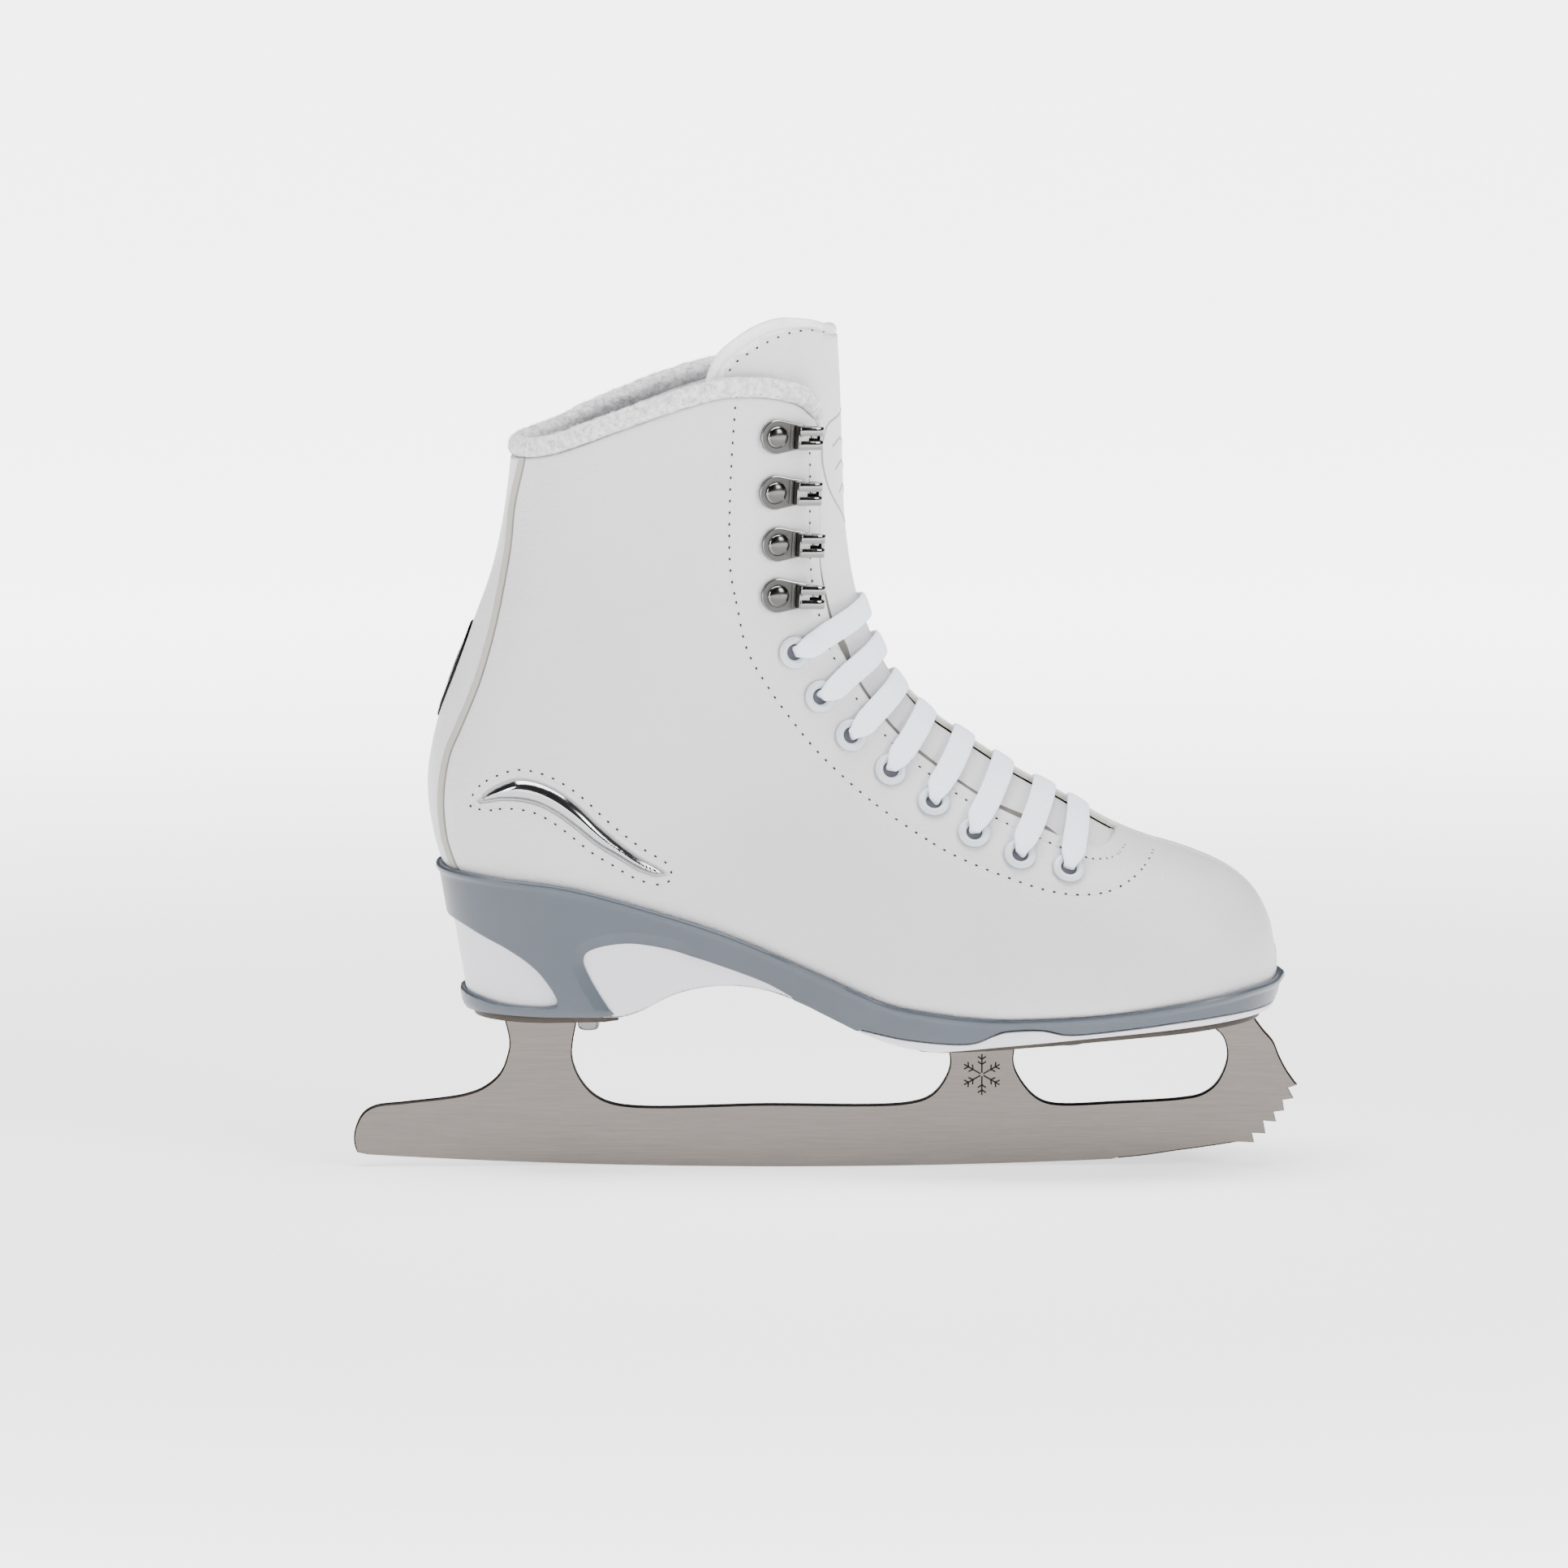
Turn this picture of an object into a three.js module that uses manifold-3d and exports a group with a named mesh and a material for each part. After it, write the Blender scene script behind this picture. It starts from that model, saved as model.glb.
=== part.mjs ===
// A right-foot figure skate: a lasted boot with a padded collar, hooks and eyelets, a flexing tongue,
// a two-colour unit sole, and a toe-pick blade screwed on by its heel plate and sole plate.
// Millimetres. +X points to the toe, +Z up, -Y is the outer (lateral) side.
// The blade's lowest point is at Z = 0.
import * as THREE from "three";
import { mergeVertices } from "three/addons/utils/BufferGeometryUtils.js";
import Module from "manifold-3d";

const wasm = await Module();
wasm.setup();

// ---------------------------------------------------------------- driving dimensions
const GAP = 0.3; // clearance between pieces that touch
const LEATHER = 1.8; // thickness of the outer panels
const STIFFENER = 1.4; // heel counter and toe puff
const LINING_FROM = LEATHER + GAP;
const LINING_TO = 5.6; // depth of the lining's inner face
const BOARD = 1.7; // insole board
const FOOTBED = 3.4;
const WALL_ROWS = 19; // rows and columns of facets on the boot
const WALL_COLUMNS = 20;
const FAR = 90; // half-width of a cutting prism

const BLADE_THICKNESS = 3.9;
const PLATE_THICKNESS = 2.4;
const HEEL_PLATE_BOTTOM = 46.8;
const SOLE_PLATE_SLOPE = 0.089;
const SOLE_PLATE_START = { x: 33, z: 37.2 };
const ROCKER_RADIUS = 2150;
const ROCKER_LOW_X = -13;

const EYELET_RADIUS = 5.0;
const EYELET_HOLE = 2.3;
const LACE_WIDTH = 8;
const LACE_THICKNESS = 1.4;
const ROLL_RADIUS = 3.1;
const ROLL_DEPTH = 2.2; // how far the collar roll's centre lies inside the boot's skin
const TONGUE_FACE = 2.4; // depth of the tongue's face in the throat
const TONGUE_WING = 7.2; // and under the padded collar
const TONGUE_THICKNESS = 5;
const TONGUE_PIVOT = { x: 4, z: 170 };

// The boot's skin is a loft of closed rings. Each ring lies in a plane across the boot, from a point
// on the shin, instep or toe (top) to one on the back, heel or sole (low). wide is its half-width,
// belly is where along it the ring is widest, and crown and base are its superellipse exponents.
const RINGS = [
  { top: [5.2, 264], low: [-92.5, 243], wide: 39.5, belly: 0.5, crown: 2.1, base: 2.2, side: 0 },
  { top: [6.6, 238], low: [-94, 219], wide: 38.6, belly: 0.5, crown: 2.1, base: 2.2, side: 0 },
  { top: [7.4, 213], low: [-96.3, 199], wide: 37.6, belly: 0.5, crown: 2.1, base: 2.2, side: 0 },
  { top: [8.2, 195], low: [-99.8, 182], wide: 36.7, belly: 0.48, crown: 2.1, base: 2.2, side: 0 },
  { top: [11, 176.5], low: [-105, 167], wide: 36, belly: 0.46, crown: 2.1, base: 2.2, side: 0 },
  { top: [15.5, 163], low: [-111, 151], wide: 35.6, belly: 0.43, crown: 2.1, base: 2.2, side: 0 },
  { top: [21, 151.5], low: [-116.3, 136], wide: 35.4, belly: 0.4, crown: 2.15, base: 2.2, side: 0 },
  { top: [27.5, 142.5], low: [-119.4, 119], wide: 35.2, belly: 0.37, crown: 2.15, base: 2.3, side: 0 },
  { top: [33, 137.2], low: [-118, 103.5], wide: 35, belly: 0.34, crown: 2.2, base: 2.4, side: 0 },
  { top: [38, 133.6], low: [-113.5, 91], wide: 34.8, belly: 0.32, crown: 2.2, base: 2.7, side: 0 },
  { top: [43, 130.2], low: [-103, 83.5], wide: 34.8, belly: 0.31, crown: 2.2, base: 3.4, side: 0 },
  { top: [49, 126.2], low: [-80, 80.5], wide: 35.2, belly: 0.3, crown: 2.25, base: 4.2, side: 0 },
  { top: [55.5, 121.8], low: [-50, 74.5], wide: 36.5, belly: 0.3, crown: 2.3, base: 5, side: -0.3 },
  { top: [62.5, 117.8], low: [-18, 64], wide: 38.8, belly: 0.29, crown: 2.3, base: 5, side: -0.6 },
  { top: [70, 113.8], low: [10, 52], wide: 41.5, belly: 0.28, crown: 2.25, base: 5, side: -0.8 },
  { top: [78, 109], low: [34, 46.8], wide: 43.6, belly: 0.28, crown: 2.2, base: 5, side: -0.6 },
  { top: [86.6, 104.2], low: [56, 46.2], wide: 44.6, belly: 0.28, crown: 2.2, base: 5, side: 0 },
  { top: [96, 100.2], low: [77, 47.2], wide: 44.2, belly: 0.28, crown: 2.25, base: 5, side: 0.9 },
  { top: [106, 97], low: [96, 48.8], wide: 42.3, belly: 0.28, crown: 2.35, base: 5, side: 2 },
  { top: [115.5, 93.2], low: [112, 50.4], wide: 38.5, belly: 0.28, crown: 2.4, base: 4.5, side: 3 },
  { top: [123, 89], low: [122, 51.4], wide: 33, belly: 0.3, crown: 2.4, base: 4, side: 3.7 },
  { top: [129.2, 83], low: [129, 52.2], wide: 26, belly: 0.34, crown: 2.35, base: 3.4, side: 4.2 },
  { top: [133.3, 75], low: [133.2, 53.6], wide: 17.5, belly: 0.4, crown: 2.2, base: 2.6, side: 4.5 },
  { top: [135, 67], low: [135, 57], wide: 8, belly: 0.5, crown: 2, base: 2, side: 4.6 },
];
const TOE_TIP = [135.5, 4.6, 62];

// Lines in the side view, as [x, z].
const COLLAR = [
  [-96, 215], [-86, 216.8], [-78, 219.2], [-63, 225.2], [-47, 231.2], [-36, 234.6], [-27, 236],
  [-16, 235.2], [-8.4, 232.9], [-4.5, 229.6], [-2.3, 227.5],
];
const THROAT = [
  [-2.3, 227.5], [-1.6, 217], [-1.6, 198], [-1.4, 184], [0.6, 172.2], [3.3, 162.2], [7.2, 154.4],
  [11.1, 147], [16.2, 139.8], [21.1, 134], [26.4, 129], [31.8, 124.8], [37.9, 120.5], [44.5, 116.3],
  [50.6, 112.7], [56.6, 109.8], [63.9, 106.6], [71.2, 103.4], [79, 101], [84, 101.2], [87.4, 103.6],
];
const BACK_SEAM = [
  [-90.7, 217], [-93.9, 202], [-95.1, 190], [-97.1, 178.2], [-100, 164.5], [-104.4, 149.3],
  [-109.8, 136], [-113.3, 127.6], [-115, 119], [-115.4, 110.5], [-114.4, 101.5], [-112.4, 95],
  [-110, 88],
];
const FEATHER = [
  [-119, 92.6], [-97, 90.6], [-77, 88.3], [-53, 82], [-28.6, 74.2], [-4.3, 63.8], [10.4, 57.2],
  [20, 53.5], [32.3, 51.3], [44.5, 49.9], [56.6, 49.4], [81, 50.4], [100.5, 52.7], [117.5, 55.4],
  [127.3, 57.2], [139, 58.2],
];
const EYELETS = [
  [-9.5, 158.9], [-1.8, 145.4], [7.4, 133.5], [19.3, 123], [32.2, 113.8], [44.2, 105.1],
  [57.9, 98.8], [72.4, 94.6],
];
const LACE_TOPS = [
  [12.3, 170.1], [16, 158.3], [21.8, 147.3], [29.1, 138], [40.1, 129.4], [51.8, 121.5],
  [64.7, 114.6], [75.2, 110],
];
const HOOKS = [[-15.1, 224], [-15.5, 207.3], [-14.7, 191.6], [-14.8, 176.2]];
const SWOOSH_TOP = [
  [-103.5, 114], [-100.7, 117], [-96, 119.6], [-91.4, 121], [-85.6, 120.1], [-79.7, 117.4],
  [-73.8, 113], [-68, 107.4], [-62, 102.3], [-56.2, 98], [-50.3, 94.6], [-48, 93.2],
];
const SWOOSH_LOW = [
  [-50.8, 93], [-56.2, 94.9], [-62, 98.4], [-68, 102], [-73.8, 106.7], [-79.7, 111.1],
  [-85.6, 114.1], [-91.4, 115.3], [-97.4, 115.3],
];

const BOARD_TOP = [
  [-125, 85], [-80, 84.4], [-50, 78.5], [-18, 68], [10, 56], [34, 50.8], [56, 50.2], [77, 51.2],
  [96, 52.8], [112, 54.4], [140, 57],
];
const SOLE_BOTTOM = [
  [-125, 49.5], [-61, 49.5], [-55, 51.5], [-45.7, 56.3], [-36, 58.8], [-26, 59.2], [-16.4, 57.6],
  [-6.7, 54], [3, 49.4], [12.8, 44.7], [22.5, 41.5], [33, 39.9], [140, 49.4],
];
const RAND_LOW = [
  [-125, 40], [0, 40], [10.4, 46.6], [23, 43.9], [37.4, 42.6], [44.7, 43], [50, 45.2], [54.4, 46.5],
  [64.4, 46.8], [73.4, 45.2], [91.5, 46.8], [104.9, 48.4], [118.5, 49.8], [140, 51.4],
];
const HEEL_WINDOW = [
  [-130, 80], [-112, 77], [-103, 73], [-94.4, 69], [-87.4, 64.2], [-82.8, 59], [-80.4, 54.6],
  [-88, 52.8], [-98, 53], [-109, 55], [-130, 57],
];
const ARCH_WINDOW = [
  [-58, 40], [-68, 55], [-71.4, 63], [-72.4, 67], [-70.8, 69.6], [-65, 71.2], [-57.2, 72],
  [-47.2, 70.4], [-38.4, 67.8], [-28.4, 64.4], [-18, 60.4], [-10, 50],
];
const TONGUE_TOP = [
  [-34.5, 236], [-34.3, 241], [-30.4, 248], [-23.5, 252.9], [-16.8, 256.2], [-10.1, 258.1],
  [-4.5, 258.5], [2.3, 257.6], [20, 257.2],
];
const TONGUE_WING_EDGE = [[-14, 179], [-25, 196], [-31.5, 216]];

// Materials.
const look = (colour, roughness, metalness) =>
  new THREE.MeshStandardMaterial({ color: colour, roughness, metalness });
const WHITE_LEATHER = look(0xf2f1f2, 0.45, 0);
const WHITE_SOLE = look(0xecebf0, 0.4, 0);
const GREY_SOLE = look(0x7d858e, 0.35, 0);
const PLUSH = look(0xdedcdd, 0.95, 0);
const PIPING = look(0xcbc8bd, 0.8, 0);
const BOARD_BROWN = look(0xb59b78, 0.8, 0);
const STEEL = look(0xaaa6a0, 0.35, 1);
const NICKEL = look(0xc9c8c6, 0.15, 1);
const EYELET_WHITE = look(0xdfe4e6, 0.3, 0);
const LACE_WHITE = look(0xf0f2f8, 0.9, 0);
const DARK_GLOSS = look(0x17181a, 0.15, 0);

// ---------------------------------------------------------------- small tools
const root = new THREE.Group();

function add(name, solid, material) {
  const mesh = new THREE.Mesh(geometryOf(solid), material);
  mesh.name = name;
  root.add(mesh);
  return mesh;
}

function solidOf(geometry) {
  const bare = new THREE.BufferGeometry();
  const loose = geometry.index ? geometry.toNonIndexed() : geometry;
  bare.setAttribute("position", loose.getAttribute("position").clone());
  const merged = mergeVertices(bare, 1e-4);
  return new wasm.Manifold(
    new wasm.Mesh({
      numProp: 3,
      vertProperties: merged.attributes.position.array,
      triVerts: new Uint32Array(merged.index.array),
    }),
  );
}

function geometryOf(solid) {
  const mesh = solid.getMesh();
  const geometry = new THREE.BufferGeometry();
  geometry.setAttribute("position", new THREE.BufferAttribute(new Float32Array(mesh.vertProperties), 3));
  geometry.setIndex(new THREE.BufferAttribute(new Uint32Array(mesh.triVerts), 1));
  return geometry;
}

// The value of a list of numbers or vectors at a fractional index, on a Catmull-Rom curve.
function along(list, at) {
  const last = list.length - 1;
  const i = Math.min(last - 1, Math.max(0, Math.floor(at)));
  const f = at - i;
  const pick = (k) => list[Math.min(last, Math.max(0, k))];
  const mix = (a, b, c, d) =>
    0.5 * (2 * b + (c - a) * f + (2 * a - 5 * b + 4 * c - d) * f * f + (3 * b - a - 3 * c + d) * f ** 3);
  const [a, b, c, d] = [pick(i - 1), pick(i), pick(i + 1), pick(i + 2)];
  return Array.isArray(b) ? b.map((_, k) => mix(a[k], b[k], c[k], d[k])) : mix(a, b, c, d);
}

const smooth = (low, high, value) => {
  const t = Math.min(1, Math.max(0, (value - low) / (high - low)));
  return t * t * (3 - 2 * t);
};

// The height of a side-view line at x, between the line's ends.
function heightAt(line, x) {
  for (let i = 1; i < line.length; i++)
    if (x <= line[i][0] || i === line.length - 1) {
      const [a, b] = [line[i - 1], line[i]];
      return a[1] + ((b[1] - a[1]) * (x - a[0])) / (b[0] - a[0]);
    }
}

// The line moved sideways by a distance, to the left of its direction if positive.
function shifted(line, distance) {
  return line.map((p, i) => {
    const a = line[Math.max(0, i - 1)];
    const b = line[Math.min(line.length - 1, i + 1)];
    const long = Math.hypot(b[0] - a[0], b[1] - a[1]);
    return [p[0] - ((b[1] - a[1]) / long) * distance, p[1] + ((b[0] - a[0]) / long) * distance];
  });
}

// A prism across the boot from a closed outline in the side view.
function sidePrism(outline, from = -FAR, to = FAR) {
  const shape = new THREE.Shape(outline.map(([x, z]) => new THREE.Vector2(x, z)));
  const geometry = new THREE.ExtrudeGeometry(shape, { depth: to - from, bevelEnabled: false });
  geometry.rotateX(Math.PI / 2);
  geometry.translate(0, to, 0);
  return solidOf(geometry);
}

// A vertical prism from a closed outline in plan.
function planPrism(outline, from, to) {
  const shape = new THREE.Shape(outline.map(([x, y]) => new THREE.Vector2(x, y)));
  const geometry = new THREE.ExtrudeGeometry(shape, { depth: to - from, bevelEnabled: false });
  geometry.translate(0, 0, from);
  return solidOf(geometry);
}

// A closed solid from rings of points with the same count, joined in order and capped at both ends.
function loft(rings, startTip = null, endTip = null) {
  const count = rings[0].length;
  const mean = (ring) => ring.reduce((s, p) => s.map((v, k) => v + p[k] / count), [0, 0, 0]);
  const points = [startTip ?? mean(rings[0]), ...rings.flat(), endTip ?? mean(rings[rings.length - 1])];
  const faces = [];
  const at = (r, c) => 1 + r * count + (c % count);
  for (let c = 0; c < count; c++) {
    faces.push(0, at(0, c + 1), at(0, c));
    for (let r = 0; r < rings.length - 1; r++) {
      faces.push(at(r, c), at(r, c + 1), at(r + 1, c));
      faces.push(at(r, c + 1), at(r + 1, c + 1), at(r + 1, c));
    }
    faces.push(points.length - 1, at(rings.length - 1, c), at(rings.length - 1, c + 1));
  }
  const geometry = new THREE.BufferGeometry();
  geometry.setAttribute("position", new THREE.Float32BufferAttribute(points.flat(), 3));
  geometry.setIndex(faces);
  const solid = solidOf(geometry);
  return solid.volume() > 0 ? solid : solidOf(flipped(geometry));
}

function flipped(geometry) {
  const index = Array.from(geometry.index.array);
  for (let i = 0; i < index.length; i += 3) [index[i + 1], index[i + 2]] = [index[i + 2], index[i + 1]];
  const turned = geometry.clone();
  turned.setIndex(index);
  return turned;
}

// ---------------------------------------------------------------- the boot's skin
// A point on the skin: ring is a fractional index into RINGS, and turn runs once round from the top.
function skin(ring, turn) {
  const value = (key) => along(RINGS.map((r) => r[key]), ring);
  const [top, low] = [value("top"), value("low")];
  const [c, s] = [Math.cos(2 * Math.PI * turn), Math.sin(2 * Math.PI * turn)];
  const power = 2 / (c >= 0 ? value("crown") : value("base"));
  const up = Math.sign(c) * Math.abs(c) ** power * (c >= 0 ? 1 - value("belly") : value("belly"));
  const at = value("belly") + up;
  const y = value("side") + value("wide") * Math.sign(s) * Math.abs(s) ** power;
  return new THREE.Vector3(low[0] + (top[0] - low[0]) * at, y, low[1] + (top[1] - low[1]) * at);
}

function skinNormal(ring, turn) {
  const h = 0.004;
  const a = skin(ring, turn + h).sub(skin(ring, turn - h));
  const b = skin(Math.min(RINGS.length - 1, ring + h), turn).sub(skin(Math.max(0, ring - h), turn));
  return b.cross(a).normalize();
}

// The solid inside the skin moved inwards by a depth, which may vary with the place on the skin.
function lastSolid(depth) {
  const deep = typeof depth === "function" ? depth : () => depth;
  const rings = [];
  for (let r = 0; r <= WALL_ROWS; r++) {
    const ring = ((RINGS.length - 1) * r) / WALL_ROWS;
    rings.push(
      Array.from({ length: WALL_COLUMNS }, (_, c) => {
        const turn = c / WALL_COLUMNS;
        const p = skin(ring, turn);
        return p.addScaledVector(skinNormal(ring, turn), -deep(p)).toArray();
      }),
    );
  }
  return loft(rings, null, [TOE_TIP[0] - deep(new THREE.Vector3(...TOE_TIP)), TOE_TIP[1], TOE_TIP[2]]);
}

// Where a side-view point [x, z] lies on the skin of one side (-1 outer, 1 inner), with its normal.
const bothSides = new THREE.MeshBasicMaterial({ side: THREE.DoubleSide });
const finder = new THREE.Mesh(geometryOf(lastSolid(0)), bothSides);
finder.geometry.computeVertexNormals();
function onSkin([x, z], side) {
  const ray = new THREE.Raycaster(new THREE.Vector3(x, side * FAR, z), new THREE.Vector3(0, -side, 0));
  const hit = ray.intersectObject(finder)[0];
  if (!hit) throw new Error("no skin at " + x + ", " + z);
  return { point: hit.point, normal: hit.face.normal.clone() };
}

// A tube of points along a route of {at, across, up} frames, with a half-width and half-thickness at each.
function ribbon(route, halfWidth, halfThickness, sides = 8) {
  return loft(
    route.map(({ at, across, up }, i) =>
      Array.from({ length: sides }, (_, k) => {
        const a = (2 * Math.PI * (k + 0.5)) / sides;
        return at
          .clone()
          .addScaledVector(across, Math.cos(a) * halfWidth(i))
          .addScaledVector(up, Math.sin(a) * halfThickness(i))
          .toArray();
      }),
    ),
    route[0].at.toArray(),
    route[route.length - 1].at.toArray(),
  );
}

// ---------------------------------------------------------------- the unit sole
// Points round the boot where its skin meets a surface of the given height, each with the direction out.
function perimeter(heightOf, heel, toe, arcStep) {
  const stations = [];
  const fan = (centre, from, to) => {
    for (let a = from; a <= to + 0.1; a += arcStep) stations.push({ centre, angle: (a * Math.PI) / 180 });
  };
  const sides = Math.round((toe[0] - heel[0]) / 17);
  const row = (angle, first) => {
    for (let i = 1; i < sides; i++) {
      const x = first[0] + ((first === heel ? 1 : -1) * i * (toe[0] - heel[0])) / sides;
      stations.push({ centre: [x, 0], angle });
    }
  };
  fan(toe, -90, 90);
  row(Math.PI / 2, toe);
  fan(heel, 90, 270);
  row(-Math.PI / 2, heel);
  return stations.map(({ centre, angle }) => around(centre, angle, heightOf));
}

function around(centre, angle, heightOf) {
  const out = new THREE.Vector3(Math.cos(angle), Math.sin(angle), 0);
  const axis = new THREE.Vector3(centre[0], centre[1], 0);
  let found = axis.clone().addScaledVector(out, 20);
  for (let pass = 0; pass < 5; pass++) {
    const start = axis.clone().addScaledVector(out, 160).setZ(heightOf(found.x));
    found = new THREE.Raycaster(start, out.clone().negate()).intersectObject(finder)[0].point;
  }
  return { point: found, out };
}

const SOLE_EDGE = perimeter((x) => heightAt(FEATHER, x), [-84, 0], [100, 2], 18);

// The sole's walls run down from the feather line and taper in, most of all behind the heel.
function soleBlock(grow) {
  const level = (t) =>
    SOLE_EDGE.map(({ point, out }) => {
      const taper = 2.4 + (point.x < -60 ? 5 * Math.max(0, -out.x) : 0);
      const p = point.clone().addScaledVector(out, grow - taper * t);
      const top = heightAt(FEATHER, point.x);
      return [p.x, p.y, top + (heightAt(SOLE_BOTTOM, point.x) - top) * t];
    });
  return loft([-0.3, 1.3].map(level));
}

const RAND_THICKNESS = 1.6;
const RAND_GROW = 2;
const RAND_LIP = 4;
const lowered = (line, by) => line.map(([x, z]) => [x, z - by]);
const below = (line) => sidePrism([...line, [line[line.length - 1][0], 0], [line[0][0], 0]]);
const above = (line) => sidePrism([...line, [line[line.length - 1][0], 320], [line[0][0], 320]]);

const inset = (by) => SOLE_EDGE.map(({ point, out }) => [point.x - by * out.x, point.y - by * out.y]);
const bootRoom = lastSolid(-GAP);
const middle = (by) => planPrism(inset(by), 0, 120);
const soleOuter = soleBlock(RAND_GROW).intersect(below(FEATHER)).intersect(above(SOLE_BOTTOM));
const randInner = soleBlock(RAND_GROW - RAND_THICKNESS).intersect(below(lowered(FEATHER, RAND_LIP - GAP)));
const outsole = soleBlock(RAND_GROW - RAND_THICKNESS - GAP)
  .intersect(below(lowered(FEATHER, RAND_LIP)).add(middle(8 + GAP)))
  .intersect(above(SOLE_BOTTOM))
  .add(soleOuter.intersect(below(RAND_LOW)).intersect(sidePrism([[0, 0], [140, 0], [140, 60], [0, 60]])))
  .subtract(bootRoom);
const rand = soleOuter
  .subtract(randInner)
  .subtract(middle(8))
  .intersect(above(RAND_LOW.map(([x, z]) => [x, z + GAP])))
  .subtract(sidePrism(HEEL_WINDOW))
  .subtract(sidePrism(ARCH_WINDOW))
  .subtract(bootRoom);

// ---------------------------------------------------------------- blade, plates and screws
const rocker = (x) => ROCKER_RADIUS - Math.sqrt(ROCKER_RADIUS ** 2 - (x - ROCKER_LOW_X) ** 2);
const solePlateBottom = (x) => SOLE_PLATE_START.z + SOLE_PLATE_SLOPE * (x - SOLE_PLATE_START.x);
const heelFoot = HEEL_PLATE_BOTTOM - GAP;
const soleFoot = (x) => solePlateBottom(x) - GAP;
const BLADE = [
  ...[-138, -110, -80, -50, -20, 10, 40, 65, 86].map((x) => [x, rocker(x)]),
  [96, 3.4], [105.4, 4.8], [115, 6.1], [123.9, 7.5],
  // toe-pick teeth, tip and root in turn
  [129, 7.3], [128.3, 10.2], [132.4, 10], [131.7, 13.9], [135.6, 13.6], [134.8, 16.6], [138, 17],
  [137.5, 20.2], [140.7, 20.7], [139, 23.9], [141.9, 24.8],
  [138.7, 29.2], [136.5, 33.4], [134.6, 38], [131.7, 41.4], [128.6, soleFoot(128.6)],
  // front window
  [114, soleFoot(114)], [116.6, 42.2], [119.5, 39.3], [120.7, 34.1], [119.7, 29.5], [117, 24.8],
  [113, 22], [108, 20.9], [88, 19.6], [68.1, 19.2], [63.5, 21], [59.1, 25.8], [56.6, 31.4],
  [57.4, soleFoot(57.4)],
  // front stanchion and long window
  [36.6, soleFoot(36.6)], [37.4, 31.4], [35.9, 26.8], [32, 21.9], [25.7, 19.5], [-18, 18.9],
  [-62, 18.8], [-69.3, 21.7], [-73.9, 27], [-76.1, 33.1], [-75.9, 38], [-74.2, heelFoot],
  // heel stanchion and tail
  [-97, heelFoot], [-95.1, 38], [-95.6, 34.1], [-97.8, 28.5], [-102.2, 24.4], [-108.3, 21.9],
  [-126, 19.5], [-135.6, 18.3], [-139.2, 16.1], [-141.6, 11.2], [-141.9, 7.5], [-141, 4.4],
];
const blade = sidePrism(BLADE, -BLADE_THICKNESS / 2, BLADE_THICKNESS / 2);

const roundEnd = (centre, radius, from, to, steps) =>
  Array.from({ length: steps + 1 }, (_, i) => {
    const a = ((from + ((to - from) * i) / steps) * Math.PI) / 180;
    return [centre[0] + radius[0] * Math.cos(a), centre[1] + radius[1] * Math.sin(a)];
  });
const HEEL_PLATE = [
  ...roundEnd([-83, 0], [22.6, 25], 90, 270, 10), [-66, -23], [-62, -19], [-62, 19], [-66, 23],
];
const SOLE_PLATE = [
  ...roundEnd([98, 2], [33, 30], -90, 90, 12), [70, 31], [48, 27], [34, 22], [28, 15], [28, -15],
  [34, -22], [48, -27], [70, -29],
];
const soleTilt = (Math.atan(SOLE_PLATE_SLOPE) * 180) / Math.PI;
const onSolePlate = (solid) =>
  solid.rotate([0, -soleTilt, 0]).translate([SOLE_PLATE_START.x, 0, SOLE_PLATE_START.z]);
const fromStart = ([x, y]) => [x - SOLE_PLATE_START.x, y];

const SCREW_HEAD = { radius: 3.3, height: 2.5 };
const SCREW_SHANK = 1.9;
function screw(length) {
  const profile = [
    [0, -SCREW_HEAD.height - GAP], [2.3, -SCREW_HEAD.height - GAP], [SCREW_HEAD.radius, -1.6],
    [SCREW_HEAD.radius, -GAP], [SCREW_SHANK, -GAP], [SCREW_SHANK, length - 1.5], [0, length],
  ];
  const geometry = new THREE.LatheGeometry(profile.map(([x, y]) => new THREE.Vector2(x, y)), 10);
  geometry.rotateX(Math.PI / 2);
  return solidOf(geometry);
}
const bore = (length) => planPrism(roundEnd([0, 0], [2.2, 2.2], 0, 324, 9), -0.1, length);
const HEEL_SCREWS = [[-91, -12], [-91, 12], [-71, -18.5], [-71, 18.5]];
const SOLE_SCREWS = [[40, -12], [40, 12], [74, -22], [74, 24], [112, -16], [112, 20]];

let heelPlate = planPrism(HEEL_PLATE, HEEL_PLATE_BOTTOM, HEEL_PLATE_BOTTOM + PLATE_THICKNESS);
let solePlate = onSolePlate(planPrism(SOLE_PLATE.map(fromStart), 0, PLATE_THICKNESS));
let sole = outsole;
HEEL_SCREWS.forEach(([x, y], i) => {
  const place = (solid) => solid.translate([x, y, HEEL_PLATE_BOTTOM]);
  heelPlate = heelPlate.subtract(place(bore(PLATE_THICKNESS + 1)));
  sole = sole.subtract(place(bore(16.4)));
  add("screw_heel_" + (i + 1), place(screw(16)), STEEL);
});
SOLE_SCREWS.forEach((at, i) => {
  const place = (solid) => onSolePlate(solid.translate([...fromStart(at), 0]));
  solePlate = solePlate.subtract(place(bore(PLATE_THICKNESS + 1)));
  sole = sole.subtract(place(bore(6.4)));
  add("screw_sole_" + (i + 1), place(screw(6)), STEEL);
});
add("blade", blade, STEEL);
add("heel_plate", heelPlate, STEEL);
add("sole_plate", solePlate, STEEL);
add("outsole", sole, WHITE_SOLE);
add("sole_rand", rand, GREY_SOLE);

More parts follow.
